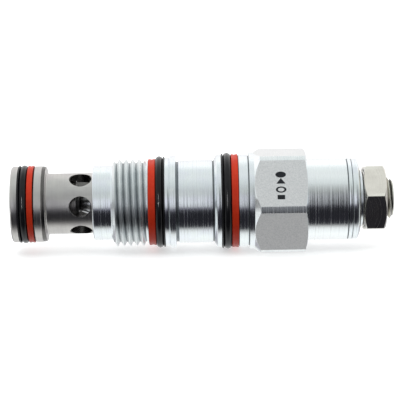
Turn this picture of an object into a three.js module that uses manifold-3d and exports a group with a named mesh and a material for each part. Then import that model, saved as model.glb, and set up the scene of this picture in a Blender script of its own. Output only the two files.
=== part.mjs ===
// Screw-in counterbalance cartridge valve with a screw adjuster, as an assembly of separate pieces.
//
// Millimetres. The valve's axis is X and +X points from the nose to the adjuster; +Z is up.
// The origin is on the axis, halfway along the valve. Along the axis every size is a station: the
// distance from the nose end face. Clock angles run from -Y towards +Z.
import * as THREE from 'three';
import { mergeVertices } from 'three/addons/utils/BufferGeometryUtils.js';
import Module from 'manifold-3d';

const wasm = await Module();
wasm.setup();

// ---- driving dimensions ----------------------------------------------------------------------

const LENGTH = 87.6; // nose end face to the end of the adjusting screw
const SIDES = 24; // facets round every turned piece
const GAP = 0.1; // running gap between neighbours
const TOOL_RADIUS = 20; // wider than anything on the valve

const HEX = { from: 55.6, to: 67.6, flats: 22.22, corner: 12.42, flat: 11.11 };
const THREAD = { from: 23.3, pitch: 1.5, turns: 5, crest: 10.0, root: 9.08 };
const COLLAR = { from: 54.45, radius: 11.1 };
const TUBE = { end: 79.8, radius: 9.37, lip: 7.25 };

const SLEEVE = { end: 23.4, radius: 6.98, bore: 5.3, guide: 4.0, flange: 8.72 };
const NOSE_GROOVE = { from: 1.57, to: 5.45, floor: 7.13 };
const LOWER_GROOVE = { from: 31.4, to: 35.2, floor: 8.7 };
const UPPER_GROOVE = { from: 48.1, to: 52.1, floor: 9.2 };
const FLOW_HOLES = { station: 15.9, radius: 2.4, count: 6, clock: 3.7 };
const PILOT_HOLES = { station: 42.0, radius: 1.1, clocks: [155, 205] };

const SNAP_GROOVE = { from: 1.0, to: 1.65, radius: 6.2 };
const LOCK_WIRE = { station: 21.0, ring: 6.98, wire: 0.33 };
const SEAT_BORE = 1.75; // hole through the check poppet that the piston's cone closes
const CONE_SLOPE = 0.364; // radius gained per millimetre along the cone
const CHECK_SPRING = { from: 2.65, to: 9.5, mean: 3.75, wire: 0.35, closed: 0.8, open: 3.4 };
const MAIN_SPRING = { from: 52.0, to: 65.4, mean: 5.6, wire: 0.95, closed: 0.75, open: 2.4 };

const PISTON = { stem: 3.9, land: 5.6, landFrom: 45.4, landTo: 50.4, pin: 2.6, end: 53.8 };
const PISTON_DRILLING = { from: 18.3, radius: 0.8, crossRadius: 0.45 };
const CHAMBER = { from: 50.2, to: 68.8, radius: 7.2 };
const CAP = { from: 69.0, shoulder: 79.25, end: 80.5, radius: 7.9, bore: 6.0, boss: 6.4 };
const SCREW = { from: 66.5, head: 68.3, headEnd: 73.3, headRadius: 5.9, thread: 4.76, socket: 3.97 };
const SCREW_CLEARANCE = 4.9; // plain bore in the cap and in the locknut, for the screw's thread
const LOCKNUT = { from: 80.6, to: 85.8, flats: 14.29, corner: 8.25, clock: 13.4 };

// ---- finishes --------------------------------------------------------------------------------

const finish = (color, roughness, metalness) => ({ color, roughness, metalness });
const FINISHES = {
  zincPlate: finish(0xcfd3d6, 0.28, 0.95),
  sleeveSteel: finish(0x9c9894, 0.42, 0.95),
  groundSteel: finish(0xb9bbbd, 0.25, 1.0),
  springSteel: finish(0x6f7174, 0.45, 0.9),
  nickelSteel: finish(0xa5a59e, 0.34, 0.95),
  nitrile: finish(0x17181a, 0.5, 0.0),
  blackBackup: finish(0x202124, 0.42, 0.0),
  redBackup: finish(0xd8442c, 0.45, 0.0),
};

// ---- shared geometry -------------------------------------------------------------------------

const degrees = (angle) => (angle * Math.PI) / 180;

/** Turned shape: `profile` is a list of [station, radius], out along the outside and back inside. */
function turned(profile, sides = SIDES) {
  const points = profile.map(([station, radius]) => new THREE.Vector2(radius, station - LENGTH / 2));
  const onAxis = profile[0][1] === 0 && profile.at(-1)[1] === 0;
  if (!onAxis) points.push(points[0].clone());
  return new THREE.LatheGeometry(points, sides).rotateZ(-Math.PI / 2);
}

/** Plain ring of square section. */
function ring(from, to, inner, outer) {
  return turned([[from, outer], [to, outer], [to, inner], [from, inner]]);
}

/** Round-section ring between two radii, its near side at station `from`. */
function roundRing(from, inner, outer, sides = 6) {
  const radius = (outer - inner) / 2;
  const middle = (outer + inner) / 2;
  const profile = [];
  for (let i = 0; i < sides; i += 1) {
    const angle = degrees(180 - (360 * (i + 0.5)) / sides);
    profile.push([from + radius * (1 + Math.cos(angle)), middle + radius * Math.sin(angle)]);
  }
  return turned(profile);
}

/** Six-sided prism along the axis, with one corner at the given clock angle. */
function hexPrism(from, to, flats, clock) {
  const corner = flats / 2 / Math.cos(degrees(30));
  const points = [];
  for (let i = 0; i < 6; i += 1) {
    const angle = degrees(clock + 60 * i);
    points.push(new THREE.Vector2(-corner * Math.sin(angle), -corner * Math.cos(angle)));
  }
  const prism = new THREE.ExtrudeGeometry(new THREE.Shape(points), { depth: to - from, bevelEnabled: false });
  return prism.rotateY(Math.PI / 2).translate(from - LENGTH / 2, 0, 0);
}

/** Drill standing across the axis: it starts `inner` from the axis and points at a clock angle. */
function drill(station, radius, clock, inner, outer, sides) {
  const shape = new THREE.CylinderGeometry(radius, radius, outer - inner, sides);
  shape.translate(0, (outer + inner) / 2, 0).rotateX(Math.PI - degrees(clock));
  return shape.translate(station - LENGTH / 2, 0, 0);
}

/** Closed mesh as a solid that can be cut. */
function solid(geometry) {
  const bare = geometry.clone();
  bare.deleteAttribute('normal');
  bare.deleteAttribute('uv');
  const merged = mergeVertices(bare, 1e-4);
  const vertProperties = new Float32Array(merged.attributes.position.array);
  const triVerts = new Uint32Array(merged.index.array);
  return new wasm.Manifold(new wasm.Mesh({ numProp: 3, vertProperties, triVerts }));
}

/** Solid as a mesh geometry again. */
function geometryOf(cutSolid) {
  const mesh = cutSolid.getMesh();
  const geometry = new THREE.BufferGeometry();
  geometry.setAttribute('position', new THREE.BufferAttribute(new Float32Array(mesh.vertProperties), 3));
  geometry.setIndex(new THREE.BufferAttribute(new Uint32Array(mesh.triVerts), 1));
  geometry.computeVertexNormals();
  return geometry;
}

/** `base` with every tool cut away. */
function cut(base, tools) {
  return geometryOf(tools.reduce((left, tool) => left.subtract(solid(tool)), solid(base)));
}

/** Centre line of a coil spring whose end turns lie closed. */
class CoilLine extends THREE.Curve {
  constructor({ from, to, mean, wire, closed, open }) {
    super();
    this.start = from + wire - LENGTH / 2;
    this.span = to - from - 2 * wire;
    this.mean = mean;
    this.closed = closed;
    this.open = open;
    this.closedRise = closed * wire * 2.1;
  }

  getPoint(t, target = new THREE.Vector3()) {
    const turns = t * (2 * this.closed + this.open);
    const openTurns = THREE.MathUtils.clamp(turns - this.closed, 0, this.open);
    const closedTurns = turns - openTurns;
    const openPitch = (this.span - 2 * this.closedRise) / this.open;
    const along = this.start + (closedTurns * this.closedRise) / this.closed + openTurns * openPitch;
    const angle = 2 * Math.PI * turns;
    return target.set(along, this.mean * Math.cos(angle), this.mean * Math.sin(angle));
  }
}

/** Coil spring of round wire. */
function coilSpring(size, sides, stepsPerTurn) {
  const section = [];
  for (let i = 0; i < sides; i += 1) {
    const angle = degrees((360 * i) / sides);
    section.push(new THREE.Vector2(size.wire * Math.cos(angle), size.wire * Math.sin(angle)));
  }
  const steps = Math.round(stepsPerTurn * (2 * size.closed + size.open));
  return new THREE.ExtrudeGeometry(new THREE.Shape(section), {
    steps,
    bevelEnabled: false,
    extrudePath: new CoilLine(size),
  });
}

/** Named piece in its finish. */
function piece(name, geometry, look) {
  const mesh = new THREE.Mesh(geometry, new THREE.MeshStandardMaterial(FINISHES[look]));
  mesh.name = name;
  return mesh;
}

/** Group of pieces. */
function assembly(...pieces) {
  const group = new THREE.Group();
  pieces.forEach((item) => group.add(item));
  return group;
}

// ---- valve body ------------------------------------------------------------------------------

/** One thread ridge after another, the first one lower where the thread starts. */
function threadRidges() {
  const points = [];
  for (let i = 0; i < THREAD.turns; i += 1) {
    const start = THREAD.from + i * THREAD.pitch;
    const crest = i === 0 ? THREAD.crest - 0.4 : THREAD.crest;
    points.push([start, THREAD.root], [start + 0.55, crest]);
    points.push([start + 0.75, crest], [start + 1.3, THREAD.root]);
  }
  return points;
}

/** Outside of the body from the neck to the end of the tube. */
function bodyOutside() {
  const rootEnd = THREAD.from + THREAD.turns * THREAD.pitch;
  return [
    [18.7, 8.3],
    [18.95, 8.55],
    [23.0, 8.55],
    ...threadRidges(),
    [rootEnd, 9.0],
    [LOWER_GROOVE.from - 0.3, 9.0],
    [LOWER_GROOVE.from - 0.3, 9.6],
    [LOWER_GROOVE.from, 9.6],
    [LOWER_GROOVE.from, LOWER_GROOVE.floor],
    [LOWER_GROOVE.to, LOWER_GROOVE.floor],
    [LOWER_GROOVE.to, 10.2],
    [36.3, 10.2],
    [36.45, 10.7],
    [37.8, 10.7],
    [37.9, 9.53],
    [46.3, 9.53],
    [47.07, 10.64],
    [UPPER_GROOVE.from, 10.64],
    [UPPER_GROOVE.from, UPPER_GROOVE.floor],
    [UPPER_GROOVE.to, UPPER_GROOVE.floor],
    [UPPER_GROOVE.to, 10.64],
    [COLLAR.from - 0.1, 10.64],
    [COLLAR.from, 10.7],
    [COLLAR.from, COLLAR.radius],
    [HEX.from, COLLAR.radius],
    [HEX.from + 1.3, HEX.corner],
    [HEX.to - 0.45, HEX.corner],
    [HEX.to, HEX.flat],
    [HEX.to, TUBE.radius],
    [76.8, TUBE.radius],
    [76.85, 9.15],
    [77.0, 9.3],
    [TUBE.end - 0.5, 9.3],
    [TUBE.end, 7.9],
  ];
}

/** Bores of the body from the tube's rolled lip back to the sleeve's counterbore. */
function bodyInside() {
  return [
    [TUBE.end, TUBE.lip],
    [CAP.shoulder + GAP, TUBE.lip],
    [CAP.shoulder + GAP, CAP.radius + GAP],
    [CHAMBER.to, CAP.radius + GAP],
    [CHAMBER.to, CHAMBER.radius],
    [CHAMBER.from, CHAMBER.radius],
    [CHAMBER.from, PISTON.land + GAP],
    [44.9, PISTON.land + GAP],
    [44.4, 6.3],
    [36.4, 6.3],
    [35.4, 4.4],
    [24.0, 4.4],
    [24.0, SLEEVE.radius + GAP],
    [LOCK_WIRE.station + 0.4, SLEEVE.radius + GAP],
    [LOCK_WIRE.station + 0.4, 7.4],
    [LOCK_WIRE.station - 0.4, 7.4],
    [LOCK_WIRE.station - 0.4, SLEEVE.radius + GAP],
    [18.7, SLEEVE.radius + GAP],
  ];
}

/** Neck, thread, seal grooves, waist, hexagon and spring tube, all turned from one bar. */
function valveBody() {
  const bar = turned([...bodyOutside(), ...bodyInside()]);
  const around = ring(HEX.from - 0.3, HEX.to + 0.3, 1, TOOL_RADIUS);
  const outsideHex = cut(around, [hexPrism(HEX.from - 1, HEX.to + 1, HEX.flats, 0)]);
  const { station, radius, clocks } = PILOT_HOLES;
  const pilots = clocks.map((clock) => drill(station, radius, clock, 5, 12, 10));
  return piece('valve_body', cut(bar, [outsideHex, ...pilots]), 'zincPlate');
}

// ---- nose ------------------------------------------------------------------------------------

/** Sleeve with the nose seal groove, the flow holes and the bores of the check poppet and piston. */
function noseSleeve() {
  const wireFloor = LOCK_WIRE.ring - LOCK_WIRE.wire - GAP;
  const tube = turned([
    [0, SLEEVE.flange - 0.3],
    [0.3, SLEEVE.flange],
    [NOSE_GROOVE.from, SLEEVE.flange],
    [NOSE_GROOVE.from, NOSE_GROOVE.floor],
    [NOSE_GROOVE.to, NOSE_GROOVE.floor],
    [NOSE_GROOVE.to, SLEEVE.flange],
    [7.1, SLEEVE.flange],
    [7.2, 8.45],
    [7.9, 8.69],
    [8.5, 8.2],
    [8.55, SLEEVE.radius],
    [LOCK_WIRE.station - 0.4, SLEEVE.radius],
    [LOCK_WIRE.station - 0.4, wireFloor],
    [LOCK_WIRE.station + 0.4, wireFloor],
    [LOCK_WIRE.station + 0.4, SLEEVE.radius],
    [SLEEVE.end, SLEEVE.radius],
    [SLEEVE.end, SLEEVE.guide],
    [18.9, SLEEVE.guide],
    [18.4, 4.9],
    [14.9, 4.9],
    [14.9, SLEEVE.bore],
    [2.9, SLEEVE.bore],
    [2.9, 5.8],
    [SNAP_GROOVE.to, 5.8],
    [SNAP_GROOVE.to, SNAP_GROOVE.radius],
    [SNAP_GROOVE.from, SNAP_GROOVE.radius],
    [SNAP_GROOVE.from, 5.8],
    [0.3, 5.8],
    [0, 6.1],
  ]);
  const holes = [];
  for (let i = 0; i < FLOW_HOLES.count; i += 1) {
    const clock = FLOW_HOLES.clock + (360 / FLOW_HOLES.count) * i;
    holes.push(drill(FLOW_HOLES.station, FLOW_HOLES.radius, clock, 3, 9, 20));
  }
  return piece('nose_sleeve', cut(tube, holes), 'sleeveSteel');
}

/** Spring wire ring that locks the sleeve in the body. */
function sleeveLockWire() {
  const { station, ring: middle, wire } = LOCK_WIRE;
  return piece('sleeve_lock_wire', roundRing(station - wire, middle - wire, middle + wire, 4), 'springSteel');
}

/** Open snap ring that holds the spring retainer in the nose. */
function noseSnapRing() {
  const closed = ring(SNAP_GROOVE.from + 0.05, SNAP_GROOVE.to - 0.05, 5.0, SNAP_GROOVE.radius - GAP);
  const opening = drill(1.3, 1.2, 90, 4, 7, 4);
  return piece('nose_snap_ring', cut(closed, [opening]), 'springSteel');
}

/** Flat ring that the check spring pushes on. */
function checkSpringRetainer() {
  return piece('check_spring_retainer', ring(1.75, 2.55, 3.0, 5.7), 'groundSteel');
}

/** Ring poppet: it slides in the sleeve, and its small bore is the relief piston's seat. */
function checkPoppet() {
  const shape = turned([
    [6.0, 4.9],
    [6.3, SLEEVE.bore - GAP],
    [14.8, SLEEVE.bore - GAP],
    [14.8, 4.5],
    [15.4, 3.4],
    [15.4, SEAT_BORE],
    [14.2, SEAT_BORE],
    [12.6, 3.3],
    [9.6, 3.3],
    [9.6, 4.4],
    [6.0, 4.4],
  ]);
  return piece('check_poppet', shape, 'groundSteel');
}

// ---- relief piston ---------------------------------------------------------------------------

/** Piston with the cone at the nose, two seal grooves, the pilot land and a drilled centre. */
function reliefPiston() {
  const coneRadius = (station) => SEAT_BORE - 0.05 + CONE_SLOPE * (station - 15.4);
  const bar = turned([
    [13.9, 0],
    [13.9, coneRadius(13.9)],
    [18.6, coneRadius(18.6)],
    [18.95, coneRadius(18.6)],
    [19.3, PISTON.stem],
    [20.2, PISTON.stem],
    [20.2, 2.9],
    [22.1, 2.9],
    [22.1, PISTON.stem],
    [44.6, PISTON.stem],
    [PISTON.landFrom, PISTON.land],
    [45.9, PISTON.land],
    [45.9, 4.3],
    [48.1, 4.3],
    [48.1, PISTON.land],
    [PISTON.landTo, PISTON.land],
    [PISTON.landTo, PISTON.pin],
    [PISTON.end - 0.3, PISTON.pin],
    [PISTON.end, PISTON.pin - 0.3],
    [PISTON.end, 0],
  ]);
  const { from, radius, crossRadius } = PISTON_DRILLING;
  const centre = turned([[from, 0], [from, radius], [PISTON.end + 1, radius], [PISTON.end + 1, 0]], 8);
  const cross = drill(from + crossRadius, crossRadius, 90, -6, 6, 8);
  return piece('relief_piston', cut(bar, [centre, cross]), 'groundSteel');
}

/** Seals in the piston's two grooves. */
function pistonSeals() {
  return [
    piece('piston_lower_o_ring', roundRing(20.25, 2.95, 3.95, 5), 'nitrile'),
    piece('piston_lower_backup', ring(21.35, 22.0, 2.95, 3.9), 'blackBackup'),
    piece('piston_upper_o_ring', roundRing(46.0, 4.35, 5.63, 5), 'nitrile'),
    piece('piston_upper_backup', ring(47.4, 48.0, 4.35, 5.6), 'blackBackup'),
  ];
}

// ---- seal sets -------------------------------------------------------------------------------

/** Seals on the sleeve: black backup and O-ring towards the nose, red backup behind them. */
function noseSeals() {
  const inner = NOSE_GROOVE.floor + GAP;
  return [
    piece('nose_backup_black', ring(1.65, 1.97, inner, 8.85), 'blackBackup'),
    piece('nose_o_ring', roundRing(2.02, inner, 9.0), 'nitrile'),
    piece('nose_backup_red', ring(3.85, 5.1, inner, 8.86), 'redBackup'),
  ];
}

/** Seals between the thread and the waist. */
function lowerSeals() {
  const inner = LOWER_GROOVE.floor + GAP;
  return [
    piece('lower_backup_red', ring(31.5, 32.95, inner, 9.95), 'redBackup'),
    piece('lower_o_ring', roundRing(33.0, inner, 10.57), 'nitrile'),
    piece('lower_backup_black', ring(34.82, 35.12, inner, 10.4), 'blackBackup'),
  ];
}

/** Seals between the waist and the collar. */
function upperSeals() {
  const inner = UPPER_GROOVE.floor + GAP;
  return [
    piece('upper_backup_black', ring(48.18, 48.48, inner, 10.9), 'blackBackup'),
    piece('upper_o_ring', roundRing(48.52, inner, 11.1), 'nitrile'),
    piece('upper_backup_red', ring(50.5, 51.95, inner, 10.75), 'redBackup'),
  ];
}

// ---- spring and adjuster ---------------------------------------------------------------------

/** Ring on the piston's pin that carries the main spring. */
function lowerSpringSeat() {
  const inner = PISTON.pin + GAP;
  const from = PISTON.landTo + GAP;
  const shape = turned([
    [from, 7.0],
    [MAIN_SPRING.from - GAP, 7.0],
    [MAIN_SPRING.from - GAP, 4.2],
    [53.0, 4.2],
    [53.2, 4.0],
    [53.2, inner],
    [from, inner],
  ]);
  return piece('lower_spring_seat', shape, 'groundSteel');
}

/** Button that the adjusting screw pushes against the main spring. */
function upperSpringSeat() {
  const shape = turned([
    [64.4, 0],
    [64.4, 3.9],
    [64.7, 4.2],
    [MAIN_SPRING.to + GAP, 4.2],
    [MAIN_SPRING.to + GAP, 7.0],
    [67.2, 7.0],
    [67.2, 2.9],
    [66.4, 2.9],
    [66.4, 0],
  ]);
  return piece('upper_spring_seat', shape, 'groundSteel');
}

/** Plug in the end of the tube, with the screw's bore and a boss under the locknut. */
function adjusterCap() {
  const shape = turned([
    [CAP.from, CAP.radius - 0.2],
    [CAP.from + 0.2, CAP.radius],
    [72.4, CAP.radius],
    [72.4, 6.9],
    [74.0, 6.9],
    [74.0, CAP.radius],
    [CAP.shoulder, CAP.radius],
    [CAP.shoulder, CAP.boss],
    [CAP.end, CAP.boss],
    [CAP.end, SCREW_CLEARANCE],
    [75.0, SCREW_CLEARANCE],
    [75.0, CAP.bore],
    [CAP.from, CAP.bore],
  ]);
  return piece('adjuster_cap', shape, 'zincPlate');
}

/** Adjusting screw: sealed head inside the cap, threaded shank and a hexagon socket outside. */
function adjustingScrew() {
  const bar = turned([
    [SCREW.from, 0],
    [SCREW.from, 2.2],
    [SCREW.from + 0.4, 2.6],
    [SCREW.head, 2.6],
    [SCREW.head, SCREW.headRadius],
    [70.8, SCREW.headRadius],
    [70.8, 4.7],
    [72.8, 4.7],
    [72.8, SCREW.headRadius],
    [SCREW.headEnd, SCREW.headRadius],
    [SCREW.headEnd, 4.2],
    [74.2, 4.2],
    [74.7, SCREW.thread],
    [LENGTH - 0.55, SCREW.thread],
    [LENGTH, 4.2],
    [LENGTH, 0],
  ]);
  const socket = hexPrism(LENGTH - 3.6, LENGTH + 1, SCREW.socket, LOCKNUT.clock);
  return piece('adjusting_screw', cut(bar, [socket]), 'nickelSteel');
}

/** Seals on the screw's head and round the cap. */
function adjusterSeals() {
  return [
    piece('cap_o_ring', roundRing(72.65, 6.95, 7.95, 5), 'nitrile'),
    piece('adjuster_o_ring', roundRing(70.85, 4.75, 5.93, 5), 'nitrile'),
    piece('adjuster_backup_ring', ring(72.1, 72.7, 4.75, 5.9), 'blackBackup'),
  ];
}

/** Thin hexagon nut that locks the screw, chamfered on both faces. */
function locknut() {
  const chamfer = 0.7;
  const bar = turned([
    [LOCKNUT.from, 6.95],
    [LOCKNUT.from + chamfer, LOCKNUT.corner],
    [LOCKNUT.to - chamfer, LOCKNUT.corner],
    [LOCKNUT.to, 6.95],
    [LOCKNUT.to, SCREW_CLEARANCE],
    [LOCKNUT.from, SCREW_CLEARANCE],
  ]);
  const hexagon = solid(hexPrism(LOCKNUT.from - 1, LOCKNUT.to + 1, LOCKNUT.flats, LOCKNUT.clock));
  return piece('locknut', geometryOf(solid(bar).intersect(hexagon)), 'nickelSteel');
}

// ---- the whole valve -------------------------------------------------------------------------

export default assembly(
  assembly(valveBody(), sleeveLockWire(), ...lowerSeals(), ...upperSeals()),
  assembly(noseSleeve(), ...noseSeals(), noseSnapRing(), checkSpringRetainer()),
  assembly(piece('check_spring', coilSpring(CHECK_SPRING, 5, 12), 'springSteel'), checkPoppet()),
  assembly(reliefPiston(), ...pistonSeals(), lowerSpringSeat()),
  assembly(piece('main_spring', coilSpring(MAIN_SPRING, 6, 14), 'springSteel'), upperSpringSeat()),
  assembly(adjusterCap(), adjustingScrew(), ...adjusterSeals(), locknut()),
);
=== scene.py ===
"""Looks of a screw-in counterbalance cartridge valve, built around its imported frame.

The valve's axis is X, from the nose to the adjuster, and +Z is up. Every piece is modelled on the
bench in millimetres, with its stations counted from the nose end face, and is then set down in the
frame in metres. Radii are from the axis. Clock angles run from -Y (the front) towards +Z.
"""

from __future__ import annotations

import logging
import math
from dataclasses import dataclass, field
from enum import Enum
from typing import Any, Callable, Sequence

import bmesh
import bpy
from mathutils import Matrix, Vector

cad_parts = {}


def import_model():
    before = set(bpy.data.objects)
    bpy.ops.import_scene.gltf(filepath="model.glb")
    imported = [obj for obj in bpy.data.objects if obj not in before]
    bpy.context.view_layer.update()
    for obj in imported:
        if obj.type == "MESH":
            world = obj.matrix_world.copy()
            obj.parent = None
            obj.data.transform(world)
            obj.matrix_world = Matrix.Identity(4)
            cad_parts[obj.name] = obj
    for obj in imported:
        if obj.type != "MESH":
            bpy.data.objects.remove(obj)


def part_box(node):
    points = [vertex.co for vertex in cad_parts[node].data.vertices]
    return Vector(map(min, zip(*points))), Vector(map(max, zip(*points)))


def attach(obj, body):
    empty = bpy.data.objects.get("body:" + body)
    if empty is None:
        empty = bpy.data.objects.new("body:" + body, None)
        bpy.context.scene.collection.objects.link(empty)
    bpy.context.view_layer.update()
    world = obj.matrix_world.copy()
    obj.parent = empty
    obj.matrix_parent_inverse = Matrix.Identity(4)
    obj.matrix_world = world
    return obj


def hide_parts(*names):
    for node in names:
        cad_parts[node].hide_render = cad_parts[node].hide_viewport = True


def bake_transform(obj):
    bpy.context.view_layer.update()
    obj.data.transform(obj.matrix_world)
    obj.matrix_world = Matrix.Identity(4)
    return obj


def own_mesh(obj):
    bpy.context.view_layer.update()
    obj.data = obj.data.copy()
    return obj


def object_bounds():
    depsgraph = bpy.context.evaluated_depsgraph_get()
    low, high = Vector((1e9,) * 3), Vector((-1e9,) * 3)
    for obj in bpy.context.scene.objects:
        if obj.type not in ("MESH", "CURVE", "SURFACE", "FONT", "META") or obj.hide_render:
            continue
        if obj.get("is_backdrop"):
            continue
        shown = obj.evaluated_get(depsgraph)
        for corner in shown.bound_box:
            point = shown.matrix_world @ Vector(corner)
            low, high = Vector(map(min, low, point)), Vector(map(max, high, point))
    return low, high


LOG = logging.getLogger("valve")

MM = 0.001
MERGE_MM = 1e-4
INCH_MM = 25.4
FULL_TURN = 2 * math.pi

Outline = list[tuple[float, float]]
Socket = bpy.types.NodeSocket
FaceTest = Callable[[Vector, Vector], bool]


# ---- finishes --------------------------------------------------------------------------------


def linear(hex_colour: str) -> tuple[float, float, float, float]:
    """Turn an sRGB hex colour into linear values.

    Args:
        hex_colour: Six hex digits, with or without a leading '#'.

    Returns:
        Red, green, blue and an alpha of 1, all linear.
    """
    digits = hex_colour.lstrip("#")
    channels = [int(digits[i : i + 2], 16) / 255 for i in (0, 2, 4)]
    bent = [c / 12.92 if c <= 0.04045 else ((c + 0.055) / 1.055) ** 2.4 for c in channels]
    return (bent[0], bent[1], bent[2], 1.0)


def connect(tree: bpy.types.NodeTree, socket: Socket, value: Any) -> None:
    """Set an input socket, or feed it.

    Args:
        tree: Node tree that holds the socket.
        socket: The input socket.
        value: A plain value, the output socket that feeds it, or the node whose first live output
            feeds it.
    """
    if isinstance(value, bpy.types.Node):
        value = next(output for output in value.outputs if output.enabled)
    if isinstance(value, Socket):
        tree.links.new(value, socket)
    else:
        socket.default_value = value


def add_node(
    tree: bpy.types.NodeTree, kind: str, inputs: dict[Any, Any] | None = None, **settings: Any
) -> bpy.types.Node:
    """Add one shader node with its settings, values and links.

    Args:
        tree: Node tree that gets the node.
        kind: Type name of the node.
        inputs: Socket name or number to what `connect` takes.
        settings: Properties of the node itself.

    Returns:
        The new node.
    """
    node = tree.nodes.new(kind)
    for name, value in settings.items():
        setattr(node, name, value)
    for socket, value in (inputs or {}).items():
        connect(tree, node.inputs[socket], value)
    return node


class Graph:
    """Node graph of one material, with what the finishes on the valve share."""

    def __init__(self, name: str) -> None:
        """Start a material with a bare shader, and find the place on the surface in millimetres."""
        self.material = bpy.data.materials.new(name)
        self.material.use_nodes = True
        self.tree = self.material.node_tree
        self.shader = self.tree.nodes["Principled BSDF"]
        coordinate = self.add("ShaderNodeTexCoord").outputs["Object"]
        self.place = self.add("ShaderNodeVectorMath", {0: coordinate, "Scale": 1 / MM}, operation="SCALE")

    def add(self, kind: str, inputs: dict[Any, Any] | None = None, **settings: Any) -> bpy.types.Node:
        """Add a node to this material's graph."""
        return add_node(self.tree, kind, inputs, **settings)

    def feed(self, socket: str, value: Any) -> None:
        """Set a socket of the shader, or link it."""
        connect(self.tree, self.shader.inputs[socket], value)

    def tool_path(self) -> bpy.types.Node:
        """Measure how far a lathe tool has fed, in millimetres.

        It grows along the axis on cylinders and outwards on end faces, so a pattern that follows it
        makes rings round the axis on both.

        Returns:
            The node that holds the distance.
        """
        split = self.add("ShaderNodeSeparateXYZ", {0: self.place})
        across = self.add("ShaderNodeCombineXYZ", {"Y": split.outputs["Y"], "Z": split.outputs["Z"]})
        radius = self.add("ShaderNodeVectorMath", {0: across}, operation="LENGTH")
        return self.add("ShaderNodeMath", {0: split.outputs["X"], 1: radius}, operation="ADD")

    def rings(self, fed: bpy.types.Node, spacing_mm: float, detail: float = 3.0) -> bpy.types.Node:
        """Make rings of tool marks.

        Args:
            fed: How far the tool has fed.
            spacing_mm: Distance from ring to ring.
            detail: How much finer the marks within a ring are.

        Returns:
            A node with a random value from 0 to 1 that changes only along the feed.
        """
        step = self.add("ShaderNodeMath", {0: fed, 1: 1 / spacing_mm}, operation="MULTIPLY")
        inputs = {"W": step, "Scale": 1.0, "Detail": detail, "Roughness": 0.65}
        return self.add("ShaderNodeTexNoise", inputs, noise_dimensions="1D")

    def cover(
        self, base: Any, colour: str, pattern: Any, low: float, high: float, most: float = 1.0
    ) -> bpy.types.Node:
        """Lay a second colour over the first where a pattern is strong.

        Args:
            base: The first colour, linear, or the node that makes it.
            colour: The second colour, as sRGB hex.
            pattern: The socket or node that decides between them.
            low: Value of the pattern below which only the first colour shows.
            high: Value past which the second colour covers the most.
            most: The most that the second colour covers, from 0 to 1.

        Returns:
            The node that makes the mixed colour.
        """
        share = self.add("ShaderNodeMapRange", {"Value": pattern, 1: low, 2: high, 3: 0.0, 4: most})
        return self.add("ShaderNodeMix", {0: share, 6: base, 7: linear(colour)}, data_type="RGBA")

    def gloss(
        self, pattern: bpy.types.Node, low: float, high: float, limits: tuple[float, float]
    ) -> None:
        """Make the roughness uneven.

        Args:
            pattern: What it changes with.
            low: Value of the pattern where it is least rough.
            high: Value of the pattern where it is roughest.
            limits: Least and greatest roughness.
        """
        inputs = {"Value": pattern, 1: low, 2: high, 3: limits[0], 4: limits[1]}
        self.feed("Roughness", self.add("ShaderNodeMapRange", inputs))

    def relief(self, fine: bpy.types.Node, broad: bpy.types.Node, share: float, depth_mm: float) -> None:
        """Raise the surface by one pattern and a share of another.

        Args:
            fine: The main pattern.
            broad: The second pattern.
            share: How much of the second is added.
            depth_mm: Height of the relief where the patterns are 1.
        """
        height = self.add("ShaderNodeMath", {0: broad, 1: share, 2: fine}, operation="MULTIPLY_ADD")
        inputs = {"Height": height, "Distance": depth_mm * MM, "Strength": 1.0}
        self.feed("Normal", self.add("ShaderNodeBump", inputs))


@dataclass(frozen=True)
class TurnedMetal:
    """Lathe-turned metal: rings of tool marks, soft cloudy tint, and a little wear on edges."""

    name: str
    colour: str
    tint: str
    edge: str
    streak_colour: str
    streak: float
    roughness: tuple[float, float]
    feed_mm: float
    mark_mm: float
    band_mm: float = 2.2
    mottle_mm: float = 3.5

    def material(self) -> bpy.types.Material:
        """Build the material."""
        graph = Graph(self.name)
        fed = graph.tool_path()
        marks = graph.rings(fed, self.feed_mm)
        bands = graph.rings(fed, self.band_mm, detail=2.0)
        polish = graph.rings(fed, self.feed_mm * 1.3)
        cloudy = {"Vector": graph.place, "Scale": 1 / self.mottle_mm, "Detail": 4.0, "Roughness": 0.6}
        mottle = graph.add("ShaderNodeTexNoise", cloudy)
        pointiness = graph.add("ShaderNodeNewGeometry").outputs["Pointiness"]
        base = graph.cover(linear(self.colour), self.tint, mottle, low=0.35, high=0.65)
        base = graph.cover(base, self.streak_colour, marks, low=0.5, high=0.8, most=self.streak)
        base = graph.cover(base, self.edge, pointiness, low=0.52, high=0.6, most=0.7)
        uneven = graph.add("ShaderNodeMath", {0: mottle, 1: 0.2, 2: polish}, operation="MULTIPLY_ADD")
        graph.feed("Base Color", base)
        graph.feed("Metallic", 1.0)
        graph.gloss(uneven, 0.52, 0.8, self.roughness)
        graph.relief(marks, bands, 1.5, self.mark_mm)
        return graph.material


@dataclass(frozen=True)
class BlastedMetal:
    """Plated metal with a fine grain from blasting or pickling, which scatters what it reflects."""

    name: str
    colour: str
    tint: str
    roughness: tuple[float, float]
    grain_mm: float
    depth_mm: float
    patch_mm: float = 2.6

    def material(self) -> bpy.types.Material:
        """Build the material."""
        graph = Graph(self.name)
        cloudy = {"Vector": graph.place, "Roughness": 0.6}
        grain = graph.add("ShaderNodeTexNoise", {**cloudy, "Scale": 1 / self.grain_mm, "Detail": 6.0})
        patches = graph.add("ShaderNodeTexNoise", {**cloudy, "Scale": 1 / self.patch_mm, "Detail": 4.0})
        graph.feed("Base Color", graph.cover(linear(self.colour), self.tint, grain, low=0.35, high=0.7))
        graph.feed("Metallic", 1.0)
        graph.gloss(patches, 0.35, 0.65, self.roughness)
        graph.relief(grain, patches, 0.5, self.depth_mm)
        return graph.material


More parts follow.
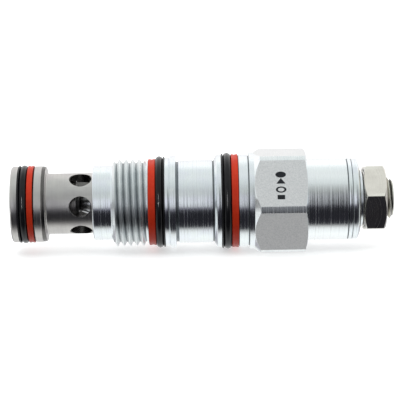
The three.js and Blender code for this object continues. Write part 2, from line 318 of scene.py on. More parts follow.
@dataclass(frozen=True)
class WireMetal:
    """Drawn and oiled spring wire: dark, with a soft gleam and brown specks of heat scale."""

    name: str
    colour: str
    scale_colour: str
    roughness: tuple[float, float]
    scale_mm: float = 0.8
    draw_mm: float = 0.12
    depth_mm: float = 0.01

    def material(self) -> bpy.types.Material:
        """Build the material."""
        graph = Graph(self.name)
        cloudy = {"Vector": graph.place, "Scale": 1 / self.scale_mm, "Detail": 5.0, "Roughness": 0.6}
        scale = graph.add("ShaderNodeTexNoise", cloudy)
        draw_marks = graph.rings(graph.tool_path(), self.draw_mm)
        specked = graph.cover(linear(self.colour), self.scale_colour, scale, low=0.55, high=0.7, most=0.8)
        graph.feed("Base Color", specked)
        graph.feed("Metallic", 1.0)
        graph.gloss(scale, 0.35, 0.7, self.roughness)
        graph.relief(scale, draw_marks, 0.4, self.depth_mm)
        return graph.material


@dataclass(frozen=True)
class Moulded:
    """Moulded or cut ring of rubber or plastic, with a soft skin and faint dust."""

    name: str
    colour: str
    shade: str
    dust: str
    roughness: tuple[float, float]
    dust_share: float
    specular: float
    skin_mm: float = 0.12
    blotch_mm: float = 1.8
    depth_mm: float = 0.012

    def material(self) -> bpy.types.Material:
        """Build the material."""
        graph = Graph(self.name)
        cloudy = {"Vector": graph.place, "Detail": 4.0, "Roughness": 0.6}
        skin = graph.add("ShaderNodeTexNoise", {**cloudy, "Scale": 1 / self.skin_mm})
        blotch = graph.add("ShaderNodeTexNoise", {**cloudy, "Scale": 1 / self.blotch_mm})
        base = graph.cover(linear(self.colour), self.shade, blotch, low=0.35, high=0.65)
        dusty = graph.cover(base, self.dust, skin, low=0.55, high=0.8, most=self.dust_share)
        graph.feed("Base Color", dusty)
        graph.feed("Metallic", 0.0)
        graph.feed("IOR", 1.5)
        graph.feed("Specular IOR Level", self.specular)
        graph.gloss(blotch, 0.3, 0.7, self.roughness)
        graph.relief(skin, blotch, 0.6, self.depth_mm)
        return graph.material


class Stock(Enum):
    """The finishes on the valve.

    Feed marks on such parts are about 0.1 mm apart, and the grain of pickled bar is about as fine.
    Both are drawn two or three times as coarse, or they would be too fine to show.
    """

    # Bright zinc with a clear passivate: near-white mirror broken into rings by tool marks, with a
    # faint cool tint.
    ZINC = TurnedMetal(
        "zinc_plate_turned", colour="#ecf1f1", tint="#e8ebf1", edge="#f6f8f8", streak_colour="#b9bec2",
        streak=0.25, roughness=(0.07, 0.34), feed_mm=0.3, mark_mm=0.004,
    )
    # The same plate on the thread and the bar's corners: duller, because the surface below is rough.
    ZINC_DULL = TurnedMetal(
        "zinc_plate_dull", colour="#eceeee", tint="#e0e4e5", edge="#f3f5f5", streak_colour="#a3a9ac",
        streak=0.3, roughness=(0.26, 0.42), feed_mm=0.3, mark_mm=0.006,
    )
    # The same plate in narrow grooves, seal grooves and thread roots, painted dark grey as the shade that
    # falls in them.
    ZINC_GROOVE = TurnedMetal(
        "zinc_plate_oily_groove", colour="#878c8f", tint="#787d81", edge="#a5aaad",
        streak_colour="#54585b", streak=0.3, roughness=(0.28, 0.45), feed_mm=0.3, mark_mm=0.006,
    )
    # The same plate over drawn hexagon bar: grainy and grey, with no clear reflection.
    ZINC_HEX = BlastedMetal(
        "zinc_plate_drawn", colour="#f7f5f5", tint="#dedede", roughness=(0.44, 0.56), grain_mm=0.3,
        depth_mm=0.012,
    )
    # Heat-treated alloy steel, fine turned: warm grey, softer and darker than the plate.
    SLEEVE = TurnedMetal(
        "hardened_steel_turned", colour="#c6c3bf", tint="#bbb7b6", edge="#e2dfda",
        streak_colour="#8f8b87", streak=0.2, roughness=(0.28, 0.42), feed_mm=0.22, mark_mm=0.004,
    )
    # Steel painted dark as shade, in bores, holes, grooves and the hexagon socket, on the poppet deep in
    # the nose and on the band behind the nose seal.
    BORE = TurnedMetal(
        "heat_darkened_steel", colour="#6f6c6a", tint="#605d5c", edge="#93908c",
        streak_colour="#343231", streak=0.4, roughness=(0.24, 0.4), feed_mm=0.3, mark_mm=0.006,
    )
    # Centreless-ground poppet and piston: even silver grey.
    GROUND = TurnedMetal(
        "hardened_steel_ground", colour="#c3c4c6", tint="#b6b8bb", edge="#d9dbdb",
        streak_colour="#85888c", streak=0.2, roughness=(0.18, 0.28), feed_mm=0.12, mark_mm=0.002,
    )
    # Nickel-plated nut: slightly yellow grey, smooth, with a broad gleam.
    NICKEL = TurnedMetal(
        "dull_nickel_plate", colour="#ebe5dc", tint="#dfd9d0", edge="#f3efe6", streak_colour="#a9a59b",
        streak=0.15, roughness=(0.16, 0.28), feed_mm=0.3, mark_mm=0.003,
    )
    # Adjusting screw: the same plate, worn grey and duller on the thread.
    SCREW = TurnedMetal(
        "worn_nickel_thread", colour="#dedbd1", tint="#cbc8be", edge="#e4e1d7",
        streak_colour="#86837b", streak=0.25, roughness=(0.26, 0.4), feed_mm=0.3, mark_mm=0.004,
    )
    # Roots of the screw's thread: nearly black, painted as the shade that falls in them.
    SCREW_ROOT = TurnedMetal(
        "oily_thread_root", colour="#45433f", tint="#37352f", edge="#6a675f", streak_colour="#24231f",
        streak=0.4, roughness=(0.35, 0.5), feed_mm=0.3, mark_mm=0.004,
    )
    # Hard-drawn spring wire: dark grey with a soft gleam.
    WIRE = WireMetal("spring_wire_oiled", colour="#6c6e71", scale_colour="#4a4440", roughness=(0.3, 0.5))
    # Nitrile rubber: deep black, wet with oil, with a narrow highlight.
    NITRILE = Moulded(
        "nitrile_rubber", colour="#0b0b0d", shade="#121214", dust="#2a2a2c", roughness=(0.1, 0.2),
        dust_share=0.12, specular=0.25,
    )
    # Filled black plastic backup ring: a little greyer than the rubber.
    BLACK_RING = Moulded(
        "black_backup_plastic", colour="#111113", shade="#18181b", dust="#323235",
        roughness=(0.3, 0.45), dust_share=0.15, specular=0.3,
    )
    # Orange-red polyurethane backup ring: strong colour with a waxy sheen.
    RED_RING = Moulded(
        "red_polyurethane", colour="#d23a1e", shade="#c83118", dust="#dd5238", roughness=(0.3, 0.45),
        dust_share=0.15, specular=0.16,
    )
    # Burnt laser marking: matt charcoal with soft edges.
    MARK = Moulded(
        "laser_marking", colour="#232529", shade="#2c2e32", dust="#3f4145", roughness=(0.6, 0.75),
        dust_share=0.3, specular=0.2, skin_mm=0.08,
    )

    def material(self) -> bpy.types.Material:
        """Return this finish's material, building it on first use."""
        known = bpy.data.materials.get(self.value.name)
        return known or self.value.material()


# ---- the bench -------------------------------------------------------------------------------


def deselect() -> None:
    """Leave edit mode and deselect every object."""
    if bpy.context.object and bpy.context.object.mode != "OBJECT":
        bpy.ops.object.mode_set(mode="OBJECT")
    bpy.ops.object.select_all(action="DESELECT")


def radial(clock: float, radius: float = 1.0) -> Vector:
    """Return the point at a clock angle in degrees and a radius, in the plane across the axis."""
    angle = math.radians(clock)
    return Vector((0.0, -math.cos(angle), math.sin(angle))) * radius


def arc(centre: tuple[float, float], radius: float, start: float, end: float, steps: int) -> Outline:
    """Lay points along an arc of an outline.

    Args:
        centre: Station and radius of the arc's centre.
        radius: The arc's own radius.
        start: Angle of the first point in degrees, 0 towards the adjuster and 90 outwards.
        end: Angle of the last point.
        steps: Number of equal steps between them.

    Returns:
        The points, both ends included.
    """
    angles = [math.radians(start + (end - start) * i / steps) for i in range(steps + 1)]
    return [(centre[0] + radius * math.cos(a), centre[1] + radius * math.sin(a)) for a in angles]


@dataclass(frozen=True)
class Thread:
    """A 60 degree screw thread between two stations, with the radii of its crest, root and bore."""

    start: float
    end: float
    pitch: float
    crest: float
    root: float
    bore: float
    steps: int = 120

    def section(self) -> Outline:
        """Return one pitch of the thread's profile, from root to root, starting before `start`."""
        rise = (self.crest - self.root) * math.tan(math.radians(30))
        flat = self.pitch / 8
        land = self.pitch - flat - 2 * rise
        first = self.start - 1.5 * self.pitch
        return [
            (first, self.root),
            (first + land, self.root),
            (first + land + rise, self.crest),
            (first + land + rise + flat, self.crest),
            (first + self.pitch, self.root),
        ]

    def turns(self) -> int:
        """Return enough turns to run past both ends."""
        return math.ceil((self.end - self.start) / self.pitch) + 3


class Blank:
    """A workpiece on the bench, in millimetres, with the valve's axis on X."""

    def __init__(self, name: str) -> None:
        """Take the active object as the workpiece and name it."""
        self.obj = bpy.context.active_object
        self.obj.name = name
        self.obj.data.name = name

    # -- ways to start a piece

    @staticmethod
    def _draw(outline: Outline, closed: bool) -> None:
        """Draw an outline above the axis as a chain of edges, and stay in edit mode."""
        deselect()
        bpy.ops.mesh.primitive_plane_add(size=1.0)
        bpy.ops.object.mode_set(mode="EDIT")
        bpy.ops.mesh.select_mode(type="VERT")
        bpy.ops.mesh.select_all(action="SELECT")
        bpy.ops.mesh.merge(type="CENTER")
        station, radius = outline[0]
        bpy.ops.transform.translate(value=(station, 0.0, radius))
        for to_station, to_radius in outline[1:] + (outline[:1] if closed else []):
            move = (to_station - station, 0.0, to_radius - radius)
            bpy.ops.mesh.extrude_vertices_move(TRANSFORM_OT_translate={"value": move})
            station, radius = to_station, to_radius

    @classmethod
    def turned(cls, name: str, outline: Outline, steps: int = 128) -> Blank:
        """Turn a piece on the lathe.

        Args:
            name: Name of the piece.
            outline: Stations and radii, out along the outside and back inside. It closes on itself
                unless both ends are on the axis.
            steps: Facets round the axis.

        Returns:
            The turned piece.
        """
        on_axis = outline[0][1] == 0 and outline[-1][1] == 0
        cls._draw(outline, closed=not on_axis)
        bpy.ops.mesh.select_all(action="SELECT")
        bpy.ops.mesh.spin(steps=steps, angle=FULL_TURN, center=(0, 0, 0), axis=(1, 0, 0))
        blank = cls(name)
        blank.close()
        return blank

    @classmethod
    def threaded(cls, name: str, thread: Thread) -> Blank:
        """Cut a threaded tube: a helix wound from one pitch, sawn square and bored."""
        cls._draw(thread.section(), closed=False)
        blank = cls(name)
        settings = {
            "axis": "X",
            "angle": FULL_TURN,
            "screw_offset": thread.pitch,
            "iterations": thread.turns(),
            "steps": thread.steps,
            "render_steps": thread.steps,
            "use_merge_vertices": True,
            "merge_threshold": MERGE_MM,
        }
        blank.modify("SCREW", settings)
        blank.edit_all()
        blank.close()
        blank.trim((thread.start, 0, 0), (-1, 0, 0))
        blank.trim((thread.end, 0, 0), (1, 0, 0))
        low, high = thread.start - 1, thread.end + 1
        bore = [(low, 0.0), (low, thread.bore), (high, thread.bore), (high, 0.0)]
        return blank.cut(Blank.turned("bore", bore, steps=thread.steps))

    @classmethod
    def coil(cls, name: str, size: CoilSize, share: tuple[float, float] = (0.0, 1.0)) -> Blank:
        """Wind a coil spring of round wire with closed ends, and grind its ends flat.

        Args:
            name: Name of the piece.
            size: Size of the whole spring.
            share: Where along the winding this piece of wire begins and ends, from 0 to 1.

        Returns:
            The spring, or the piece of it.
        """
        deselect()
        rises = size.rises()
        begin, finish = (round(limit * len(rises)) for limit in share)
        turn = -FULL_TURN / size.steps_per_turn  # rotate turns the other way without a window
        start = size.start + size.wire / 2 + sum(rises[:begin])
        bpy.ops.mesh.primitive_circle_add(
            vertices=size.sides,
            radius=size.wire,
            fill_type="NGON",
            location=(start, 0, size.mean),
            rotation=(math.pi / 2, 0, 0),
        )
        blank = cls(name)
        bpy.ops.object.transform_apply(location=True, rotation=True, scale=True)
        blank.edit_all()
        bpy.ops.transform.rotate(value=turn * begin, orient_axis="X", center_override=(0, 0, 0))
        for rise in rises[begin:finish]:
            bpy.ops.mesh.extrude_region_move(TRANSFORM_OT_translate={"value": (rise, 0, 0)})
            bpy.ops.transform.rotate(value=turn, orient_axis="X", center_override=(0, 0, 0))
        blank.close()
        blank.trim((size.start, 0, 0), (-1, 0, 0))
        blank.trim((size.end, 0, 0), (1, 0, 0))
        return blank

    @classmethod
    def rod(
        cls, name: str, station: float, clock: float, reach: tuple[float, float], radius: float
    ) -> Blank:
        """Make a straight round rod across the axis, as a drill's shape.

        Args:
            name: Name of the rod.
            station: Where it stands along the axis.
            clock: The clock angle that it points at, in degrees.
            reach: Distances from the axis of its two ends.
            radius: Its radius.

        Returns:
            The rod.
        """
        deselect()
        inner, outer = reach
        direction = radial(clock)
        turn = direction.to_track_quat("Z", "X").to_euler()
        middle = direction * ((inner + outer) / 2) + Vector((station, 0, 0))
        bpy.ops.mesh.primitive_cylinder_add(
            vertices=64, radius=radius, depth=outer - inner, location=middle, rotation=turn
        )
        bpy.ops.object.transform_apply(location=True, rotation=True, scale=True)
        return cls(name)

    # -- steps of work

    def edit_all(self) -> None:
        """Open the workpiece in edit mode with everything selected."""
        deselect()
        bpy.context.view_layer.objects.active = self.obj
        self.obj.select_set(True)
        bpy.ops.object.mode_set(mode="EDIT")
        bpy.ops.mesh.select_mode(type="VERT")
        bpy.ops.mesh.select_all(action="SELECT")

    def close(self) -> None:
        """Merge the seam's doubles and turn every face outwards."""
        if bpy.context.object.mode != "EDIT":
            self.edit_all()
        bpy.ops.mesh.select_all(action="SELECT")
        bpy.ops.mesh.remove_doubles(threshold=MERGE_MM)
        bpy.ops.mesh.normals_make_consistent(inside=False)
        deselect()

    def modify(self, kind: str, settings: dict[str, Any]) -> None:
        """Add a modifier with its settings and apply it."""
        deselect()
        bpy.context.view_layer.objects.active = self.obj
        self.obj.select_set(True)
        bpy.ops.object.modifier_add(type=kind)
        modifier = self.obj.modifiers[-1]
        for name, value in settings.items():
            setattr(modifier, name, value)
        bpy.ops.object.modifier_apply(modifier=modifier.name)

    def _combine(self, other: Blank, operation: str) -> Blank:
        """Join or cut with another workpiece, which is used up."""
        settings = {"operation": operation, "solver": "EXACT", "object": other.obj}
        self.modify("BOOLEAN", settings)
        bpy.data.objects.remove(other.obj, do_unlink=True)
        return self

    def weld(self, other: Blank) -> Blank:
        """Make one solid of this and another workpiece."""
        return self._combine(other, "UNION")

    def cut(self, other: Blank) -> Blank:
        """Cut another workpiece's shape away."""
        return self._combine(other, "DIFFERENCE")

    def trim(self, point: Sequence[float], outward: Sequence[float]) -> Blank:
        """Saw off what is past a plane and close the cut."""
        self.edit_all()
        bpy.ops.mesh.bisect(plane_co=point, plane_no=outward, use_fill=True, clear_outer=True)
        deselect()
        return self

    def mill_hexagon(self, flats: float, clock: float) -> Blank:
        """Mill six flats, with a corner at the clock angle."""
        for i in range(6):
            outward = radial(clock + 30 + 60 * i)
            self.trim(outward * (flats / 2), outward)
        return self

    def break_edges(self, width: float, angle: float = 25.0, segments: int = 2) -> Blank:
        """Break every edge sharper than `angle` degrees with a small rounded bevel."""
        settings = {
            "width": width,
            "segments": segments,
            "limit_method": "ANGLE",
            "angle_limit": math.radians(angle),
            "use_clamp_overlap": True,
        }
        self.modify("BEVEL", settings)
        return self

    def faces(self, chosen: FaceTest) -> None:
        """Open edit mode with only the faces selected whose middle and normal pass the test."""
        self.edit_all()
        bpy.ops.mesh.select_all(action="DESELECT")
        bpy.ops.mesh.select_mode(type="FACE")
        mesh = bmesh.from_edit_mesh(self.obj.data)
        for face in mesh.faces:
            face.select_set(chosen(face.calc_center_median(), face.normal))
        bmesh.update_edit_mesh(self.obj.data)

    def paint(self, stock: Stock, chosen: FaceTest) -> Blank:
        """Give the chosen faces another finish than the rest of the piece."""
        self.obj.data.materials.append(stock.material())
        self.faces(chosen)
        self.obj.active_material_index = len(self.obj.data.materials) - 1
        bpy.ops.object.material_slot_assign()
        deselect()
        return self

    def coat(self, stock: Stock) -> Blank:
        """Give the whole piece a finish."""
        self.obj.data.materials.clear()
        self.obj.data.materials.append(stock.material())
        return self

    def set_down(self, shift: Vector, smooth_angle: float = 32.0) -> bpy.types.Object:
        """Shade the piece and set it down in the frame, in metres.

        Args:
            shift: Where station 0 of the axis lies in the frame, in metres.
            smooth_angle: Edges below this angle in degrees are shaded smooth.

        Returns:
            The finished object, at the origin with its place in its mesh.
        """
        deselect()
        bpy.context.view_layer.objects.active = self.obj
        self.obj.select_set(True)
        self.obj.scale = (MM, MM, MM)
        self.obj.location = shift
        bpy.ops.object.transform_apply(location=True, rotation=True, scale=True)
        bpy.ops.object.shade_smooth_by_angle(angle=math.radians(smooth_angle))
        self.modify("WEIGHTED_NORMAL", {"keep_sharp": True, "mode": "FACE_AREA"})
        deselect()
        return self.obj


@dataclass(frozen=True)
class CoilSize:
    """Size of a coil spring: its ground ends, mean radius, wire radius, closed and open turns."""

    start: float
    end: float
    mean: float
    wire: float
    closed: float
    open: float
    # Pitch of the closed turns in wire radii: two, and a hair so that they don't overlap.
    closed_pitch: float = 2.05
    sides: int = 20
    steps_per_turn: int = 40

    def rises(self) -> list[float]:
        """Return how far the wire climbs in each step, small in the closed turns at both ends."""
        closed_steps = round(self.closed * self.steps_per_turn)
        open_steps = round(self.open * self.steps_per_turn)
        closed_rise = self.closed_pitch * self.wire / self.steps_per_turn
        climb = self.end - self.start - self.wire
        open_rise = (climb - 2 * closed_steps * closed_rise) / open_steps
        return [closed_rise] * closed_steps + [open_rise] * open_steps + [closed_rise] * closed_steps


@dataclass
class Frame:
    """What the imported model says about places."""

    nose: Vector = field(default_factory=Vector)

    def station(self, node: str) -> tuple[float, float]:
        """Return the first and last station of a CAD node, in millimetres."""
        low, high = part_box(node)
        return ((low.x - self.nose.x) / MM, (high.x - self.nose.x) / MM)

    def radius(self, node: str) -> float:
        """Return the outer radius of a CAD node that is round about the axis, in millimetres."""
        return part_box(node)[1].z / MM


@dataclass
class SubAssembly:
    """Pieces that are made together; each one is set down and dressed, and those handed over are tied to
    the body they move with.
    """

    frame: Frame
    made: list[bpy.types.Object] = field(default_factory=list)

    def hand_over(
        self, blank: Blank, body: str, slot: str, *nodes: str, smooth: float = 32.0
    ) -> bpy.types.Object:
        """Set a workpiece down in place of its CAD nodes, tied to the body that it moves with.

        Args:
            blank: The finished workpiece.
            body: The body that it moves with.
            slot: The material slot of its finish; passed on, and not used.
            nodes: CAD nodes that it stands for.
            smooth: Shading angle in degrees.

        Returns:
            The piece.
        """
        piece = self.stand_in(blank, slot, *nodes, smooth=smooth)
        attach(piece, body)
        LOG.info("%s rides on %s", piece.name, body)
        return piece

    def stand_in(self, blank: Blank, slot: str, *nodes: str, smooth: float = 32.0) -> bpy.types.Object:
        """Set a workpiece down in the frame in place of its CAD nodes, tied to nothing yet.

        Args:
            blank: The finished workpiece.
            slot: The material slot of its finish; not used.
            nodes: CAD nodes that it stands for.
            smooth: Shading angle in degrees.

        Returns:
            The piece.
        """
        piece = blank.set_down(self.frame.nose, smooth)
        if nodes:
            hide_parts(*nodes)
        self.made.append(piece)
        LOG.info("%s has %d faces", piece.name, len(piece.data.polygons))
        return piece


# ---- valve body ------------------------------------------------------------------------------


@dataclass
class ValveBody(SubAssembly):
    """The bar-turned body: neck, thread, seal grooves, waist, hexagon and spring tube."""

    thread: Thread = Thread(start=23.25, end=30.85, pitch=1.5, crest=10.0, root=9.08, bore=8.0, steps=144)
    hex_flats: float = 22.22
    hex_corner: float = 12.42
    hex_start: float = 55.6
    hex_end: float = 67.6
    pilot_station: float = 42.0
    pilot_radius: float = 1.1
    pilot_clocks: tuple[float, ...] = (155.0, 205.0)
    edge: float = 0.07
    # Radius that only the outside of the body passes.
    skin: float = 8.62
    # Start, end and outer radius of the seal grooves and reliefs, which are painted dark as shade.
    grooves: tuple[tuple[float, float, float], ...] = (
        (31.38, 35.22, 9.9),
        (37.7, 38.3, 9.6),
        (46.13, 46.47, 9.75),
        (48.08, 52.12, 10.3),
        (54.22, 54.47, 10.62),
        (76.82, 77.03, 9.3),
        (77.88, 78.03, 9.26),
    )

    def outside(self) -> Outline:
        """Return the outline from the neck to the tube's end."""
        return [
            (18.7, 8.35),
            (18.9, 8.55),
            (22.95, 8.55),
            (23.2, 8.75),
            (23.4, 8.6),
            (30.7, 8.6),
            (30.8, 8.95),
            (31.1, 8.95),
            (31.12, 9.6),
            (31.4, 9.6),
            (31.4, 8.7),
            (35.2, 8.7),
            (35.2, 10.2),
            (36.15, 10.2),
            (36.25, 10.05),
            (36.4, 10.05),
            (36.45, 10.7),
            (37.68, 10.7),
            (37.73, 9.2),
            (38.26, 9.2),
            (38.36, 9.53),
            (46.1, 9.53),
            (46.16, 9.3),
            (46.42, 9.3),
            (46.5, 9.82),
            (47.07, 10.64),
            (48.1, 10.64),
            (48.1, 9.2),
            (52.1, 9.2),
            (52.1, 10.64),
            (54.2, 10.64),
            (54.25, 10.3),
            (54.45, 10.3),
            (54.45, 11.1),
            (self.hex_start, 11.1),
            (self.hex_start + 0.1, 9.37),
            (76.8, 9.37),
            (76.85, 9.12),
            (77.0, 9.12),
            (77.05, 9.34),
            (77.85, 9.34),
            (77.9, 9.2),
            (78.0, 9.2),
            (78.05, 9.3),
            *arc((79.05, 9.05), 0.25, 90, 20, 4),
            (79.8, 7.9),
        ]

    @staticmethod
    def inside() -> Outline:
        """Return the bores from the rolled lip back to the sleeve's counterbore."""
        return [
            *arc((79.62, 7.45), 0.2, 30, -90, 5),
            (79.35, 7.3),
            (79.35, 8.0),
            (68.8, 8.0),
            (68.8, 7.2),
            (50.2, 7.2),
            (50.2, 5.7),
            (44.9, 5.7),
            (44.4, 6.3),
            (36.4, 6.3),
            (35.4, 4.4),
            (24.0, 4.4),
            (24.0, 7.08),
            (21.4, 7.08),
            (21.4, 7.4),
            (20.6, 7.4),
            (20.6, 7.08),
            (18.9, 7.08),
            (18.7, 7.25),
        ]

    def hexagon(self) -> Blank:
        """Make the hexagon with its turned land, deep nose-side chamfer and shallow far chamfer."""
        inner = self.skin - 0.02
        blank = Blank.turned(
            "hexagon",
            [
                (self.hex_start - 0.1, inner),
                (self.hex_start - 0.1, 10.98),
                (self.hex_start + 1.32, self.hex_corner),
                (self.hex_end - 0.45, self.hex_corner),
                (self.hex_end, 11.08),
                (self.hex_end, inner),
            ],
            steps=self.thread.steps,
        )
        return blank.mill_hexagon(self.hex_flats, 0).break_edges(0.09, angle=14)

    def on_flat(self, middle: Vector, normal: Vector) -> bool:
        """Say whether a face is one of the six milled flats."""
        in_length = self.hex_start < middle.x < self.hex_end
        across = max(normal.dot(radial(30 + 60 * i)) for i in range(6))
        far_out = middle.yz.length > self.hex_flats / 2 - 0.02
        return in_length and across > 0.999 and far_out

    def on_corner(self, middle: Vector, normal: Vector) -> bool:
        """Say whether a face is on the round left at one of the hexagon's corners."""
        in_length = self.hex_start + 1.2 < middle.x < self.hex_end - 0.4
        far_out = middle.yz.length > self.hex_corner - 0.05
        return in_length and far_out and not self.on_flat(middle, normal)

    def in_groove(self, middle: Vector, _normal: Vector) -> bool:
        """Say whether a face is in a groove or a thread root, where dark shade is painted."""
        radius = middle.yz.length
        in_root = self.thread.start < middle.x < self.thread.end and radius < self.thread.root + 0.12
        grooved = any(start < middle.x < end and radius < outer for start, end, outer in self.grooves)
        return radius > self.skin and (in_root or grooved)

    def on_thread(self, middle: Vector, _normal: Vector) -> bool:
        """Say whether a face is on the thread, above its root."""
        in_length = self.thread.start - 0.01 < middle.x < self.thread.end + 0.01
        return in_length and middle.yz.length > self.thread.root

    def is_dull(self, middle: Vector, normal: Vector) -> bool:
        """Say whether a face is where the plate is dull."""
        return self.on_thread(middle, normal) or self.on_corner(middle, normal)

    def tapers(self) -> list[Outline]:
        """Return the outlines of the cuts that taper the thread's first and last turns."""
        start, end = self.thread.start, self.thread.end
        low, high = self.thread.root - 0.1, self.thread.crest + 0.3
        return [
            [(start - 0.1, low), (start + 0.85, high), (start - 0.1, high)],
            [(end - 0.55, high), (end + 0.1, low + 0.3), (end + 0.1, high)],
        ]

    def build(self) -> None:
        """Make the body and hand it over."""
        body = Blank.turned("valve_body_shell", self.outside() + self.inside(), steps=self.thread.steps)
        body.break_edges(self.edge, angle=28)
        thread = Blank.threaded("thread", self.thread)
        for taper in self.tapers():
            thread.cut(Blank.turned("taper", taper, steps=self.thread.steps))
        body.weld(thread)
        body.weld(self.hexagon())
        for clock in self.pilot_clocks:
            body.cut(Blank.rod("drill", self.pilot_station, clock, (5.0, 12.0), self.pilot_radius))
        body.coat(Stock.ZINC).paint(Stock.ZINC_HEX, self.on_flat)
        # The grooves and thread roots get dark grey painted shade.
        body.paint(Stock.ZINC_DULL, self.is_dull).paint(Stock.ZINC_GROOVE, self.in_groove)
        self.hand_over(body, "root", "zinc_plate", "valve_body")


class Sign(Enum):
    """Plain signs: corners, hole and height as shares of the size, and turn in degrees."""

    OVAL = (48, 0.0, 0.6, 0)
    TRIANGLE = (3, 0.0, 0.75, 0)
    RING = (48, 0.6, 0.62, 0)
    SQUARE = (4, 0.0, 0.62, 45)


@dataclass
class HexMarks(SubAssembly):
    """Plain signs marked in a row on the upper front flat of the hexagon."""

    station: float = 61.5
    clock: float = 30.0
    flat_radius: float = 11.11
    size: float = 1.2
    # Distance from sign to sign, and of the row's middle from the middle of the flat.
    pitch: float = 1.8
    middle: float = -0.6
    thickness: float = 0.012
    sunk: float = 0.004

    def stamp(self, sign: Sign) -> Blank:
        """Make one flat sign, lying in the XY plane at the origin."""
        corners, hole, height, turn = sign.value
        deselect()
        bpy.ops.mesh.primitive_circle_add(
            vertices=corners, radius=self.size, fill_type="NGON", rotation=(0, 0, math.radians(turn))
        )
        bpy.ops.object.transform_apply(location=False, rotation=True, scale=False)
        blank = Blank("sign")
        blank.edit_all()
        if hole:
            bpy.ops.mesh.inset(thickness=self.size * (1 - hole), depth=0)
            bpy.ops.mesh.delete(type="FACE")
            bpy.ops.mesh.select_all(action="SELECT")
        bpy.ops.transform.resize(value=(1, height, 1))
        bpy.ops.mesh.extrude_region_move(TRANSFORM_OT_translate={"value": (0, 0, self.thickness)})
        blank.close()
        return blank

    def build(self) -> None:
        """Make the signs, stand them on the flat as one marking and hand it over."""
        up_flat = Vector((0, math.sin(math.radians(self.clock)), math.cos(math.radians(self.clock))))
        outward = radial(self.clock)
        turn = Matrix((Vector((1, 0, 0)), up_flat, outward)).transposed().to_4x4()
        foot = outward * (self.flat_radius - self.sunk) + Vector((self.station, 0, 0))
        signs: list[bpy.types.Object] = []
        for i, sign in enumerate(Sign):
            stamped = self.stamp(sign).obj
            along = self.middle + self.pitch * ((len(Sign) - 1) / 2 - i)
            stamped.matrix_world = Matrix.Translation(foot + up_flat * along) @ turn
            signs.append(stamped)
        deselect()
        for stamped in signs:
            stamped.select_set(True)
        bpy.context.view_layer.objects.active = signs[0]
        bpy.ops.object.transform_apply(location=True, rotation=True, scale=True)
        bpy.ops.object.join()
        marking = Blank("hex_marking").coat(Stock.MARK)
        self.hand_over(marking, "root", "black_backup")


# ---- nose ------------------------------------------------------------------------------------


